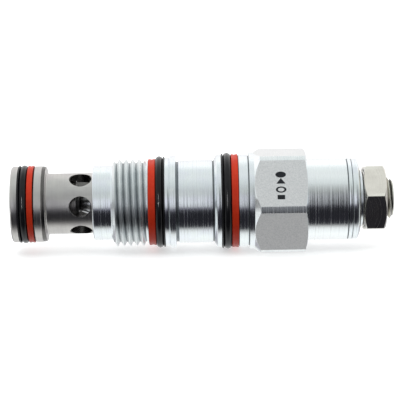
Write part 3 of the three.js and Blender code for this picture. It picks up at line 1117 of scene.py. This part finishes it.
@dataclass
class NoseSleeve(SubAssembly):
    """The nose sleeve with its flow holes, and the ring, wire and washer that hold things in it."""

    hole_station: float = 15.9
    hole_radius: float = 2.4
    hole_count: int = 6
    hole_clock: float = 3.7
    wire_station: float = 21.0
    wire_ring: float = 6.98
    wire: float = 0.33
    groove: tuple[float, float] = (1.57, 5.45)
    # Stations of the band behind the nose seal, which is painted dark as shade.
    band: tuple[float, float] = (7.16, 7.85)
    # Radius that the bore and the holes stay inside.
    bore_skin: float = 6.6

    def outline(self) -> Outline:
        """Return the sleeve's outline."""
        groove_start, groove_end = self.groove
        band_start, band_end = self.band
        return [
            (0.0, 8.42),
            (0.3, 8.72),
            (groove_start, 8.72),
            (groove_start, 7.13),
            (groove_end, 7.13),
            (groove_end, 8.72),
            (7.02, 8.72),
            (7.08, 8.58),
            (band_start, 8.68),
            (band_end, 8.58),
            (7.98, 8.45),
            (8.02, 7.5),
            *arc((8.35, 7.28), 0.3, 180, 270, 4)[1:],
            (20.6, 6.98),
            (20.6, 6.55),
            (21.4, 6.55),
            (21.4, 6.98),
            (23.2, 6.98),
            (23.4, 6.8),
            (23.4, 4.1),
            (23.3, 4.0),
            (18.9, 4.0),
            (18.4, 4.9),
            (14.9, 4.9),
            (14.9, 5.3),
            (2.9, 5.3),
            (2.9, 5.8),
            (1.65, 5.8),
            (1.65, 6.2),
            (1.0, 6.2),
            (1.0, 5.8),
            (0.3, 5.8),
            (0.0, 6.1),
        ]

    def build(self) -> None:
        """Make the sleeve, its lock wire, the snap ring and the spring retainer."""
        sleeve = Blank.turned("nose_sleeve_shell", self.outline(), steps=144)
        sleeve.break_edges(0.06, angle=28)
        for i in range(self.hole_count):
            clock = self.hole_clock + 360 / self.hole_count * i
            sleeve.cut(self.hole_cutter(clock))
        # The bore, the holes, the seal groove and the band behind it are painted dark as shade.
        sleeve.coat(Stock.SLEEVE).paint(Stock.BORE, self.is_dark)
        self.hand_over(sleeve, "root", "sleeve_steel", "nose_sleeve")
        self.lock_wire()
        self.snap_ring()
        self.retainer()

    def is_dark(self, middle: Vector, _normal: Vector) -> bool:
        """Say whether a face gets painted shade: in the bore, a hole or the seal groove, or on the band
        behind it.
        """
        radius = middle.yz.length
        in_bore = radius < self.bore_skin and middle.x > 0.35
        in_groove = self.groove[0] - 0.01 < middle.x < self.groove[1] + 0.01 and radius < 8.3
        on_band = self.band[0] - 0.02 < middle.x < self.band[1] + 0.05 and radius > 8.5
        return in_bore or in_groove or on_band

    def hole_cutter(self, clock: float) -> Blank:
        """Make the shape of one flow hole, flared where it breaks out so that its rim is chamfered."""
        flare_start, flare_depth, flare = 6.62, 0.9, 1.2
        outward = radial(clock)
        drill = Blank.rod("drill", self.hole_station, clock, (3.0, flare_start), self.hole_radius)
        drill.faces(lambda middle, normal: normal.dot(outward) > 0.9)
        bpy.ops.mesh.extrude_region_move(TRANSFORM_OT_translate={"value": outward * flare_depth})
        centre = outward * (flare_start + flare_depth) + Vector((self.hole_station, 0, 0))
        bpy.ops.transform.resize(value=(flare, flare, flare), center_override=centre)
        deselect()
        return drill

    def lock_wire(self) -> None:
        """Make the round wire that locks the sleeve in the body."""
        section = arc((self.wire_station, self.wire_ring), self.wire, 180, -150, 11)
        blank = Blank.turned("lock_wire", section, steps=96)
        gap = Blank.rod("gap", self.wire_station, 180, (5.5, 8.5), 0.6)
        blank.cut(gap).coat(Stock.WIRE)
        self.hand_over(blank, "root", "spring_steel", "sleeve_lock_wire")

    def snap_ring(self) -> None:
        """Make the open snap ring in the nose, with rounded ends."""
        start, end = self.frame.station("nose_snap_ring")
        outer = self.frame.radius("nose_snap_ring")
        blank = Blank.turned("snap_ring", [(start, outer), (end, outer), (end, 5.0), (start, 5.0)])
        opening = Blank.rod("opening", (start + end) / 2, 90, (4.0, 7.0), 1.2)
        blank.cut(opening).break_edges(0.08, angle=35).coat(Stock.WIRE)
        self.hand_over(blank, "root", "spring_steel", "nose_snap_ring")

    def retainer(self) -> None:
        """Make the flat ring that the check spring pushes on."""
        start, end = self.frame.station("check_spring_retainer")
        outer = self.frame.radius("check_spring_retainer")
        section = [(start, outer), (end, outer), (end, 3.0), (start + 0.25, 3.0), (start, 3.3)]
        blank = Blank.turned("spring_retainer", section, steps=96).break_edges(0.08).coat(Stock.GROUND)
        self.hand_over(blank, "root", "ground_steel", "check_spring_retainer")


# ---- seals -----------------------------------------------------------------------------------


@dataclass(frozen=True)
class SealPlace:
    """One seal: its CAD node, the floor it sits on, its finish and the body it moves with.

    Its spread is how far it is squeezed out past its free width, towards the nose and back.
    """

    node: str
    floor: float
    stock: Stock
    body: str = "root"
    spread: tuple[float, float] = (0.08, 0.08)


SEAL_SLOTS = {
    Stock.NITRILE: "nitrile",
    Stock.BLACK_RING: "black_backup",
    Stock.RED_RING: "red_backup",
}


@dataclass
class SealSet(SubAssembly):
    """O-rings and backup rings, each sized by its CAD node's box."""

    split_clock: float = 150.0
    split_width: float = 0.07
    # Height of the O-rings' mould line, and their clearance to the floor of the groove.
    flash: float = 0.035
    clearance: float = 0.02

    def span(self, place: SealPlace) -> tuple[float, float]:
        """Return a seal's first and last station."""
        start, end = self.frame.station(place.node)
        return (start - place.spread[0], end + place.spread[1])

    def o_ring(self, place: SealPlace) -> None:
        """Make an O-ring that is pressed a little flat on its groove floor, with a mould line."""
        start, end = self.span(place)
        outer = self.frame.radius(place.node)
        station = (start + end) / 2
        half = (outer - place.floor) / 2
        width = min(half, (end - start) / 2)
        section: Outline = []
        for degrees in range(210, -150, -12):
            angle = math.radians(degrees)
            reach = half if degrees in (90, -90) else half - self.flash
            radius = max(outer - half + reach * math.sin(angle), place.floor + self.clearance)
            section.append((station + width * math.cos(angle), radius))
        blank = Blank.turned(place.node + "_rubber", section, steps=144).coat(place.stock)
        self.hand_over(blank, place.body, SEAL_SLOTS[place.stock], place.node, smooth=50)

    def backup(self, place: SealPlace) -> None:
        """Make a backup ring with soft edges, hollowed outside and cut through on a slant."""
        start, end = self.span(place)
        outer = self.frame.radius(place.node)
        floor = place.floor + 0.05
        width = end - start
        dish = min(0.12, width * 0.12)
        shoulder = min(0.22, width * 0.3)
        section = [
            (start, outer - 0.1),
            (start + 0.05, outer),
            (start + shoulder, outer),
            (start + width / 2, outer - dish),
            (end - shoulder, outer),
            (end - 0.05, outer),
            (end, outer - 0.1),
            (end, floor),
            (start, floor),
        ]
        blank = Blank.turned(place.node + "_ring", section, steps=144)
        deselect()
        bpy.ops.mesh.primitive_cube_add(size=1.0)
        slit = Blank("slit")
        slit.obj.scale = (width * 3, self.split_width, 6.0)
        slit.obj.rotation_euler = (math.radians(90 - self.split_clock), 0, math.radians(60))
        slit.obj.location = radial(self.split_clock, outer) + Vector((start + width / 2, 0, 0))
        bpy.ops.object.transform_apply(location=True, rotation=True, scale=True)
        blank.cut(slit).break_edges(0.03, angle=40, segments=1).coat(place.stock)
        self.hand_over(blank, place.body, SEAL_SLOTS[place.stock], place.node, smooth=45)

    def build(self) -> None:
        """Make every seal on the valve."""
        rubber, red, black = Stock.NITRILE, Stock.RED_RING, Stock.BLACK_RING
        piston, slider = "relief_piston", "adjuster_slider"
        o_rings = [
            SealPlace("nose_o_ring", 7.13, rubber, spread=(0.14, 0.16)),
            SealPlace("lower_o_ring", 8.7, rubber, spread=(0.09, 0.15)),
            SealPlace("upper_o_ring", 9.2, rubber, spread=(0.14, 0.24)),
            SealPlace("piston_lower_o_ring", 2.9, rubber, piston),
            SealPlace("piston_upper_o_ring", 4.3, rubber, piston),
            SealPlace("cap_o_ring", 6.9, rubber),
            SealPlace("adjuster_o_ring", 4.7, rubber, slider),
        ]
        backups = [
            SealPlace("nose_backup_black", 7.13, black, spread=(0.0, 0.02)),
            SealPlace("nose_backup_red", 7.13, red, spread=(0.02, 0.02)),
            SealPlace("lower_backup_red", 8.7, red, spread=(0.08, 0.08)),
            SealPlace("lower_backup_black", 8.7, black, spread=(0.02, 0.0)),
            SealPlace("upper_backup_black", 9.2, black, spread=(0.0, 0.02)),
            SealPlace("upper_backup_red", 9.2, red, spread=(0.06, 0.02)),
            SealPlace("piston_lower_backup", 2.9, black, piston, (0.0, 0.0)),
            SealPlace("piston_upper_backup", 4.3, black, piston, (0.0, 0.0)),
            SealPlace("adjuster_backup_ring", 4.7, black, slider, (0.0, 0.0)),
        ]
        for place in o_rings:
            self.o_ring(place)
        for place in backups:
            self.backup(place)


# ---- check valve and relief piston -----------------------------------------------------------


@dataclass
class CheckValve(SubAssembly):
    """The ring poppet in the nose and its light spring."""

    spring: CoilSize = CoilSize(start=2.65, end=9.5, mean=3.75, wire=0.35, closed=0.8, open=3.4)
    travel: float = 2.0

    @staticmethod
    def outline() -> Outline:
        """Return the poppet's outline."""
        return [
            (6.0, 4.9),
            (6.3, 5.2),
            (8.2, 5.2),
            (8.3, 5.05),
            (8.6, 5.05),
            (8.7, 5.2),
            (14.8, 5.2),
            (14.8, 4.5),
            (15.4, 3.4),
            (15.4, 1.85),
            (15.3, 1.75),
            (14.2, 1.75),
            (12.6, 3.3),
            (9.6, 3.3),
            (9.6, 4.4),
            (6.3, 4.4),
            (6.0, 4.6),
        ]

    def build(self) -> None:
        """Make the poppet and the spring, and give the spring a mesh of its own; it stays as wound,
        though the real one shortens as the poppet slides.
        """
        # The poppet, deep in the nose, is coated with painted shade instead of its ground steel.
        poppet = Blank.turned("check_poppet_ring", self.outline()).break_edges(0.05).coat(Stock.BORE)
        self.hand_over(poppet, "check_poppet", "ground_steel", "check_poppet")
        blank = Blank.coil("check_spring_coil", self.spring).coat(Stock.WIRE)
        spring = self.hand_over(blank, "root", "spring_steel", "check_spring", smooth=50)
        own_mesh(spring)


@dataclass
class ReliefPiston(SubAssembly):
    """The piston with its seat cone, pilot land and drilled centre, and the ring on its pin."""

    seat: float = 1.70
    slope: float = 0.364
    seat_station: float = 15.4
    drill_station: float = 18.75
    drill_radius: float = 0.45

    def cone(self, station: float) -> tuple[float, float]:
        """Return the outline point on the cone at a station."""
        return (station, self.seat + self.slope * (station - self.seat_station))

    def outline(self) -> Outline:
        """Return the piston's outline."""
        neck = self.cone(18.6)[1]
        return [
            (13.9, 0.0),
            (13.9, self.cone(13.9)[1] - 0.12),
            self.cone(14.05),
            self.cone(18.6),
            (18.95, neck),
            (19.3, 3.9),
            (20.2, 3.9),
            (20.2, 2.9),
            (22.1, 2.9),
            (22.1, 3.9),
            (44.6, 3.9),
            (45.4, 5.45),
            (45.5, 5.6),
            (45.9, 5.6),
            (45.9, 4.3),
            (48.1, 4.3),
            (48.1, 5.6),
            (49.0, 5.6),
            (49.05, 5.45),
            (49.35, 5.45),
            (49.4, 5.6),
            (50.3, 5.6),
            (50.4, 5.5),
            (50.4, 2.6),
            (53.5, 2.6),
            (53.8, 2.3),
            (53.8, 0.95),
            (53.65, 0.8),
            (18.3, 0.8),
            (17.85, 0.0),
        ]

    def build(self) -> None:
        """Make the piston and the lower spring seat."""
        piston = Blank.turned("relief_piston_spindle", self.outline()).break_edges(0.05)
        for clock in (90.0, 270.0):
            piston.cut(Blank.rod("drill", self.drill_station, clock, (0.2, 5.0), self.drill_radius))
        piston.coat(Stock.GROUND)
        self.hand_over(piston, "relief_piston", "ground_steel", "relief_piston")
        seat = Blank.turned(
            "lower_spring_seat_ring",
            [
                (50.5, 7.0),
                (51.9, 7.0),
                *arc((52.1, 4.4), 0.2, 180, 270, 3),
                (53.0, 4.2),
                (53.2, 4.0),
                (53.2, 2.7),
                (50.5, 2.7),
            ],
        )
        seat.break_edges(0.1).coat(Stock.GROUND)
        self.hand_over(seat, "relief_piston", "ground_steel", "lower_spring_seat")


# ---- adjuster --------------------------------------------------------------------------------


@dataclass
class Adjuster(SubAssembly):
    """Main spring, its upper seat, the cap, the adjusting screw and the locknut."""

    spring: CoilSize = CoilSize(
        start=52.0, end=65.4, mean=5.6, wire=0.95, closed=0.75, open=2.4, sides=28
    )
    screw_thread: Thread = Thread(
        start=74.6, end=87.25, pitch=INCH_MM / 24, crest=4.76, root=4.14, bore=3.2, steps=96
    )
    screw_end: float = 87.6
    socket: float = 3.97
    socket_depth: float = 3.4
    nut_start: float = 80.6
    nut_end: float = 85.8
    nut_flats: float = 14.29
    nut_corner: float = 8.25
    nut_bore: float = 4.82
    nut_clock: float = 13.4

    def build(self) -> None:
        """Make all five pieces."""
        self.main_spring()
        self.button()
        self.cap()
        self.screw()
        self.locknut()

    def main_spring(self) -> None:
        """Wind the main spring in two halves that meet at its middle, where it never moves.

        The lower half would give way between the piston and the body, and the upper half between the body
        and the button; here each half is set down and its two bodies are logged, but it is tied to
        neither.
        """
        spring = self.spring
        middle = (spring.start + spring.end) / 2
        lower = ((0.0, 0.5), "relief_piston", "root", (spring.start, middle - spring.wire))
        upper = ((0.5, 1.0), "root", "adjuster_slider", (middle + spring.wire, spring.end))
        for name, (share, near, far, give) in {"lower": lower, "upper": upper}.items():
            blank = Blank.coil(f"main_spring_{name}_turns", spring, share).coat(Stock.WIRE)
            piece = self.stand_in(blank, "spring_steel", "main_spring", smooth=50)
            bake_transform(piece)
            LOG.info("%s gives way between %s and %s", piece.name, near, far)

    def button(self) -> None:
        """Make the upper spring seat."""
        outline = [
            (64.4, 0.0),
            (64.4, 3.9),
            (64.7, 4.2),
            *arc((65.3, 4.4), 0.2, -90, 0, 3),
            (65.5, 7.0),
            (67.2, 7.0),
            (67.2, 3.0),
            (67.1, 2.9),
            (66.4, 2.9),
            (66.4, 0.0),
        ]
        blank = Blank.turned("upper_spring_seat_button", outline).break_edges(0.1).coat(Stock.GROUND)
        self.hand_over(blank, "adjuster_slider", "ground_steel", "upper_spring_seat")

    def cap(self) -> None:
        """Make the cap with its seal groove, boss and the bore for the screw."""
        outline = [
            (69.0, 7.7),
            (69.2, 7.9),
            (72.4, 7.9),
            (72.4, 6.9),
            (74.0, 6.9),
            (74.0, 7.9),
            (79.25, 7.9),
            (79.25, 6.5),
            (79.35, 6.4),
            (80.4, 6.4),
            (80.5, 6.3),
            (80.5, 5.2),
            (80.2, 4.9),
            (75.3, 4.9),
            (75.0, 5.2),
            (75.0, 6.0),
            (69.3, 6.0),
            (69.0, 6.3),
        ]
        blank = Blank.turned("adjuster_cap_plug", outline).break_edges(0.06).coat(Stock.ZINC)
        self.hand_over(blank, "root", "zinc_plate", "adjuster_cap")

    def screw(self) -> None:
        """Make the adjusting screw: sealed head, threaded shank and hexagon socket."""
        end = self.screw_end
        outline = [
            (66.5, 0.0),
            (66.5, 2.2),
            (66.9, 2.6),
            (68.3, 2.6),
            (68.3, 5.7),
            (68.5, 5.9),
            (70.8, 5.9),
            (70.8, 4.7),
            (72.8, 4.7),
            (72.8, 5.9),
            (73.3, 5.9),
            (73.3, 4.1),
            (74.8, 4.1),
            (75.0, 3.8),
            (end - 0.6, 3.8),
            (end - 0.5, 4.05),
            *arc((end - 0.3, 3.8), 0.3, 60, 0, 4),
            (end, 2.75),
            (end - 0.35, 2.35),
            (end - 0.35, 0.0),
        ]
        blank = Blank.turned("adjusting_screw_shank", outline)
        blank.break_edges(0.06, angle=28).weld(self.bevelled_thread()).cut(self.broach())
        # The thread roots and the hexagon socket are painted dark as shade.
        blank.coat(Stock.SCREW).paint(Stock.SCREW_ROOT, self.in_root).paint(Stock.BORE, self.in_socket)
        self.hand_over(blank, "adjusting_screw", "nickel_steel", "adjusting_screw")

    def bevelled_thread(self) -> Blank:
        """Cut the screw's thread and bevel its outer end."""
        end = self.screw_end
        high = self.screw_thread.crest + 0.4
        bevel = [(end - 1.15, high), (end + 0.2, high), (end + 0.2, 3.95), (end - 0.15, 3.95)]
        thread = Blank.threaded("thread", self.screw_thread)
        return thread.cut(Blank.turned("bevel", bevel, steps=self.screw_thread.steps))

    def broach(self) -> Blank:
        """Make the shape of the hexagon socket, running out past the screw's end."""
        spare = 1.0
        deselect()
        bpy.ops.mesh.primitive_cylinder_add(
            vertices=6,
            radius=self.socket / 2 / math.cos(math.radians(30)),
            depth=self.socket_depth + spare,
            location=(self.screw_end - (self.socket_depth - spare) / 2, 0, 0),
            rotation=(0, math.pi / 2, 0),
        )
        bpy.ops.object.transform_apply(location=True, rotation=True, scale=True)
        return Blank("broach")

    def in_root(self, middle: Vector, _normal: Vector) -> bool:
        """Say whether a face is in the thread's root, which is painted dark as shade."""
        thread = self.screw_thread
        deep = thread.bore < middle.yz.length < thread.root + 0.15
        return deep and thread.start < middle.x < thread.end

    def in_socket(self, middle: Vector, _normal: Vector) -> bool:
        """Say whether a face is a wall or the floor of the hexagon socket, which is painted dark as
        shade.
        """
        from_end = self.screw_end - middle.x
        return 0.4 < from_end < self.socket_depth + 0.05 and middle.yz.length < self.socket / 2 + 0.1

    def locknut(self) -> None:
        """Make the locknut: six flats, both faces chamfered, bore countersunk."""
        start, end = self.nut_start, self.nut_end
        chamfer = 0.72
        outline = [
            (start, 6.95),
            (start + chamfer, self.nut_corner),
            (end - chamfer, self.nut_corner),
            (end, 6.95),
            (end, 5.2),
            (end - 0.4, self.nut_bore),
            (start + 0.4, self.nut_bore),
            (start, 5.2),
        ]
        blank = Blank.turned("locknut_hexagon", outline, steps=180)
        blank.mill_hexagon(self.nut_flats, self.nut_clock).break_edges(0.08, angle=12).coat(Stock.NICKEL)
        self.hand_over(blank, "locknut", "nickel_steel", "locknut")


# ---- stage, light and camera -----------------------------------------------------------------


# What the valve sees round its axis, from below the front over the front and the top to the back:
# degrees, and the colour of the light at full strength.
FRONT_LIGHT = [
    (-180, "#bcbcbc"),
    (-133, "#c2c4c4"),
    (-106, "#c7caca"),
    (-88, "#bfc2c2"),
    (-79, "#b1b3b3"),
    (-71, "#808181"),
    (-64, "#27272b"),
    (-50, "#19191d"),
    (-24, "#19191d"),
    (-15, "#2c2c31"),
    (-9, "#5d5d66"),
    (-3, "#9b9da1"),
    (5, "#acafb3"),
    (16, "#aeb0b5"),
    (28, "#a0a4a4"),
    (40, "#9ca0a0"),
    (52, "#a3a8a8"),
    (64, "#aaafaf"),
    (77, "#b2b6b6"),
    (92, "#b1b5b5"),
    (108, "#b5baba"),
    (127, "#ced0d0"),
    (150, "#cccccc"),
    (180, "#bcbcbc"),
]
# Light past the ends of the cards, by height: -1 is straight down, 1 straight up.
SIDE_LIGHT = [
    (-1, "#c6c8c8"),
    (-0.45, "#c1c4c4"),
    (-0.22, "#b0b2b2"),
    (-0.12, "#747575"),
    (0.02, "#6d6f6f"),
    (0.14, "#abaeae"),
    (0.5, "#b9bcbc"),
    (1, "#cdd0d0"),
]
# Shares of the two smaller cards, in degrees round the axis.
BACK_CARD = [(-170, "#000000"), (-163, "#ffffff"), (-128, "#ffffff"), (-118, "#000000")]
RIGHT_CARD = [
    (-30, "#000000"),
    (-18, "#ffffff"),
    (5, "#fdfdfd"),
    (16, "#efefef"),
    (28, "#d8d8d8"),
    (40, "#a0a0a0"),
    (56, "#000000"),
]
# Where these cards start and end along the valve, and where the long cards end at both sides.
BACK_CARD_ENDS = [(0.2, "#000000"), (0.38, "#ffffff")]
RIGHT_CARD_ENDS = [(0.03, "#000000"), (0.055, "#ffffff"), (0.22, "#ffffff"), (0.4, "#000000")]
LONG_CARD_ENDS = [(0.7, "#000000"), (0.88, "#ffffff")]


class Surroundings:
    """The light all round the valve, which changes with direction only.

    Looking from the valve, the studio is white above, behind and below. A dark card stands low in
    front of it, another low behind it to both sides, and a narrow one at the right. Past the cards'
    ends, at both sides, there is only a dim strip along the horizon. Seen directly, all of it is one
    plain pale wall.
    """

    def __init__(self) -> None:
        """Start the world, and measure the directions that the light is laid out by."""
        world = bpy.data.worlds.new("studio")
        bpy.context.scene.world = world
        world.use_nodes = True
        self.tree = world.node_tree
        direction = self.add("ShaderNodeTexCoord").outputs["Generated"]
        split = self.add("ShaderNodeSeparateXYZ", {0: direction})
        self.across, self.height = split.outputs["X"], split.outputs["Z"]
        forward = self.add("ShaderNodeMath", {0: split.outputs["Y"], 1: -1.0}, operation="MULTIPLY")
        angle = self.add("ShaderNodeMath", {0: self.height, 1: forward}, operation="ARCTAN2")
        self.degrees = self.add("ShaderNodeMath", {0: angle, 1: 180 / math.pi}, operation="MULTIPLY")
        self.sideways = self.add("ShaderNodeMath", {0: self.across}, operation="ABSOLUTE")

    def add(self, kind: str, inputs: dict[Any, Any] | None = None, **settings: Any) -> bpy.types.Node:
        """Add a node to the world's graph."""
        return add_node(self.tree, kind, inputs, **settings)

    def profile(
        self, value: Any, low: float, high: float, stops: Sequence[tuple[float, str]]
    ) -> bpy.types.Node:
        """Lay out light, or a card's share, along one direction.

        Args:
            value: What it changes with.
            low: Least that the value can be.
            high: Most that it can be.
            stops: The value, in its own units, and the colour of each stop.

        Returns:
            The node that makes the colour.
        """
        share = self.add("ShaderNodeMapRange", {"Value": value, 1: low, 2: high})
        ramp = self.add("ShaderNodeValToRGB", {0: share})
        elements = ramp.color_ramp.elements
        while len(elements) < len(stops):
            elements.new(1.0)
        for element, (at, colour) in zip(elements, stops):
            element.position = (at - low) / (high - low)
            element.color = linear(colour)
        return ramp

    def stand(self, card: Any, light: Any, *shares: Any) -> bpy.types.Node:
        """Stand a card in front of the light.

        Args:
            card: The card's own light, a linear colour or a node.
            light: The light behind it.
            shares: Where it stands: the product of these is 1 on the card and 0 off it.

        Returns:
            The node that makes both together.
        """
        share = shares[0]
        for other in shares[1:]:
            share = self.add("ShaderNodeMath", {0: share, 1: other}, operation="MULTIPLY")
        return self.add("ShaderNodeMix", {0: share, 6: light, 7: card}, data_type="RGBA")

    def build(self, strength: float) -> None:
        """Light the world."""
        sky = self.profile(self.degrees, -180, 180, FRONT_LIGHT)
        low_behind = self.profile(self.degrees, -180, 180, BACK_CARD)
        to_sides = self.profile(self.sideways, 0, 1, BACK_CARD_ENDS)
        sky = self.stand(linear("#85858a"), sky, low_behind, to_sides)
        front = self.profile(self.degrees, -180, 180, RIGHT_CARD)
        at_right = self.profile(self.across, -1, 1, RIGHT_CARD_ENDS)
        sky = self.stand(linear("#17171a"), sky, front, at_right)
        past_cards = self.profile(self.sideways, 0, 1, LONG_CARD_ENDS)
        sky = self.stand(self.profile(self.height, -1, 1, SIDE_LIGHT), sky, past_cards)
        seen = self.add("ShaderNodeLightPath").outputs["Is Camera Ray"]
        sky = self.stand(linear("#c0c0c0"), sky, seen)
        background = self.tree.nodes["Background"]
        connect(self.tree, background.inputs["Color"], sky)
        background.inputs["Strength"].default_value = strength


@dataclass
class Studio:
    """Pale table, soft light all round and the camera in front of the valve."""

    # Metres, then degrees, then millimetres.
    floor_size: float = 6.0
    distance: float = 0.432
    elevation: float = 10.5
    roll: float = 1.02
    aim_station: float = 43.2
    aim_height: float = 0.28
    lens: float = 168.4
    # Strength of the light through the table and all round.
    floor_glow: float = 0.75
    ambient: float = 1.9

    def floor(self, height: float) -> None:
        """Lay the table at the given height, in metres: white acrylic, lit through from below."""
        deselect()
        bpy.ops.mesh.primitive_plane_add(size=self.floor_size, location=(0, 0, height))
        table = bpy.context.active_object
        table.name = "table"
        graph = Graph("white_acrylic")
        cloudy = {"Vector": graph.place, "Scale": 1 / 40.0, "Detail": 4.0, "Roughness": 0.6}
        grain = graph.add("ShaderNodeTexNoise", cloudy)
        white = graph.cover(linear("#d8d8d8"), "#dcdcdc", grain, low=0.0, high=1.0)
        graph.feed("Base Color", white)
        graph.feed("Roughness", 0.6)
        graph.feed("Specular IOR Level", 0.2)
        graph.feed("Emission Color", white)
        graph.feed("Emission Strength", self.floor_glow)
        table.data.materials.append(graph.material)
        table.visible_glossy = False
        table.visible_diffuse = False
        table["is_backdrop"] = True

    @staticmethod
    def lamp(name: str, place: Vector, size: tuple[float, float], power: float) -> bpy.types.Object:
        """Hang one flat soft lamp.

        Args:
            name: Name of the lamp.
            place: Where it hangs; it points at the origin.
            size: Width and height in metres.
            power: Power in watts.

        Returns:
            The lamp.
        """
        data = bpy.data.lights.new(name, "AREA")
        data.shape = "RECTANGLE"
        data.size, data.size_y = size
        data.energy = power
        lamp = bpy.data.objects.new(name, data)
        bpy.context.scene.collection.objects.link(lamp)
        lamp.location = place
        lamp.rotation_euler = (-place).to_track_quat("-Z", "Y").to_euler()
        return lamp

    def lamps(self) -> None:
        """Hang a large soft lamp over the table and one behind it."""
        for name, place, size, power in (
            ("key", Vector((-0.15, -0.3, 0.8)), 0.6, 2.2),
            ("rim", Vector((0.25, 0.7, 0.5)), 0.5, 1.2),
        ):
            self.lamp(name, place, (size, size), power).visible_glossy = False

    def glint(self, rings: Sequence[bpy.types.Object]) -> None:
        """Stand a narrow strip light in front for the gleam on the wet rubber rings alone."""
        strip = self.lamp("strip", Vector((-0.3, -1.1, 0.25)), (0.04, 0.6), 8.0)
        lit = bpy.data.collections.new("rubber_rings")
        for ring in rings:
            lit.objects.link(ring)
        strip.light_linking.receiver_collection = lit

    def camera(self, nose: Vector) -> None:
        """Stand the camera in front, a little above, rolled so that the adjuster rides high."""
        data = bpy.data.cameras.new("camera")
        data.lens = self.lens
        data.clip_start = 0.01
        camera = bpy.data.objects.new("camera", data)
        bpy.context.scene.collection.objects.link(camera)
        rise = math.radians(self.elevation)
        aim = nose + Vector((self.aim_station * MM, 0, self.aim_height * MM))
        back = Vector((0, -math.cos(rise), math.sin(rise)))
        facing = (-back).to_track_quat("-Z", "Y").to_matrix().to_4x4()
        tilt = Matrix.Rotation(math.radians(-self.roll), 4, "Z")
        camera.matrix_world = Matrix.Translation(aim + back * self.distance) @ facing @ tilt
        bpy.context.scene.camera = camera

    def build(self, nose: Vector, table_height: float) -> None:
        """Set up the whole studio."""
        self.floor(table_height)
        Surroundings().build(self.ambient)
        self.lamps()
        self.camera(nose)
        bpy.context.scene.view_settings.view_transform = "Standard"


# ---- the whole valve -------------------------------------------------------------------------


WET_RINGS = ("nose_o_ring_rubber", "lower_o_ring_rubber", "upper_o_ring_rubber")


def main() -> None:
    """Build the studio and every sub-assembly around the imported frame."""
    logging.basicConfig(level=logging.INFO, format="%(name)s %(message)s")
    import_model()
    cad_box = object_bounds()
    frame = Frame(nose=Vector((cad_box[0].x, 0, 0)))
    studio = Studio()
    studio.build(frame.nose, cad_box[0].z)
    seals = SealSet(frame)
    assemblies: list[SubAssembly] = [
        ValveBody(frame),
        HexMarks(frame),
        NoseSleeve(frame),
        seals,
        CheckValve(frame),
        ReliefPiston(frame),
        Adjuster(frame),
    ]
    for assembly in assemblies:
        assembly.build()
    studio.glint([piece for piece in seals.made if piece.name in WET_RINGS])
    LOG.info("%d pieces", sum(len(assembly.made) for assembly in assemblies))


if __name__ == "__main__":
    main()
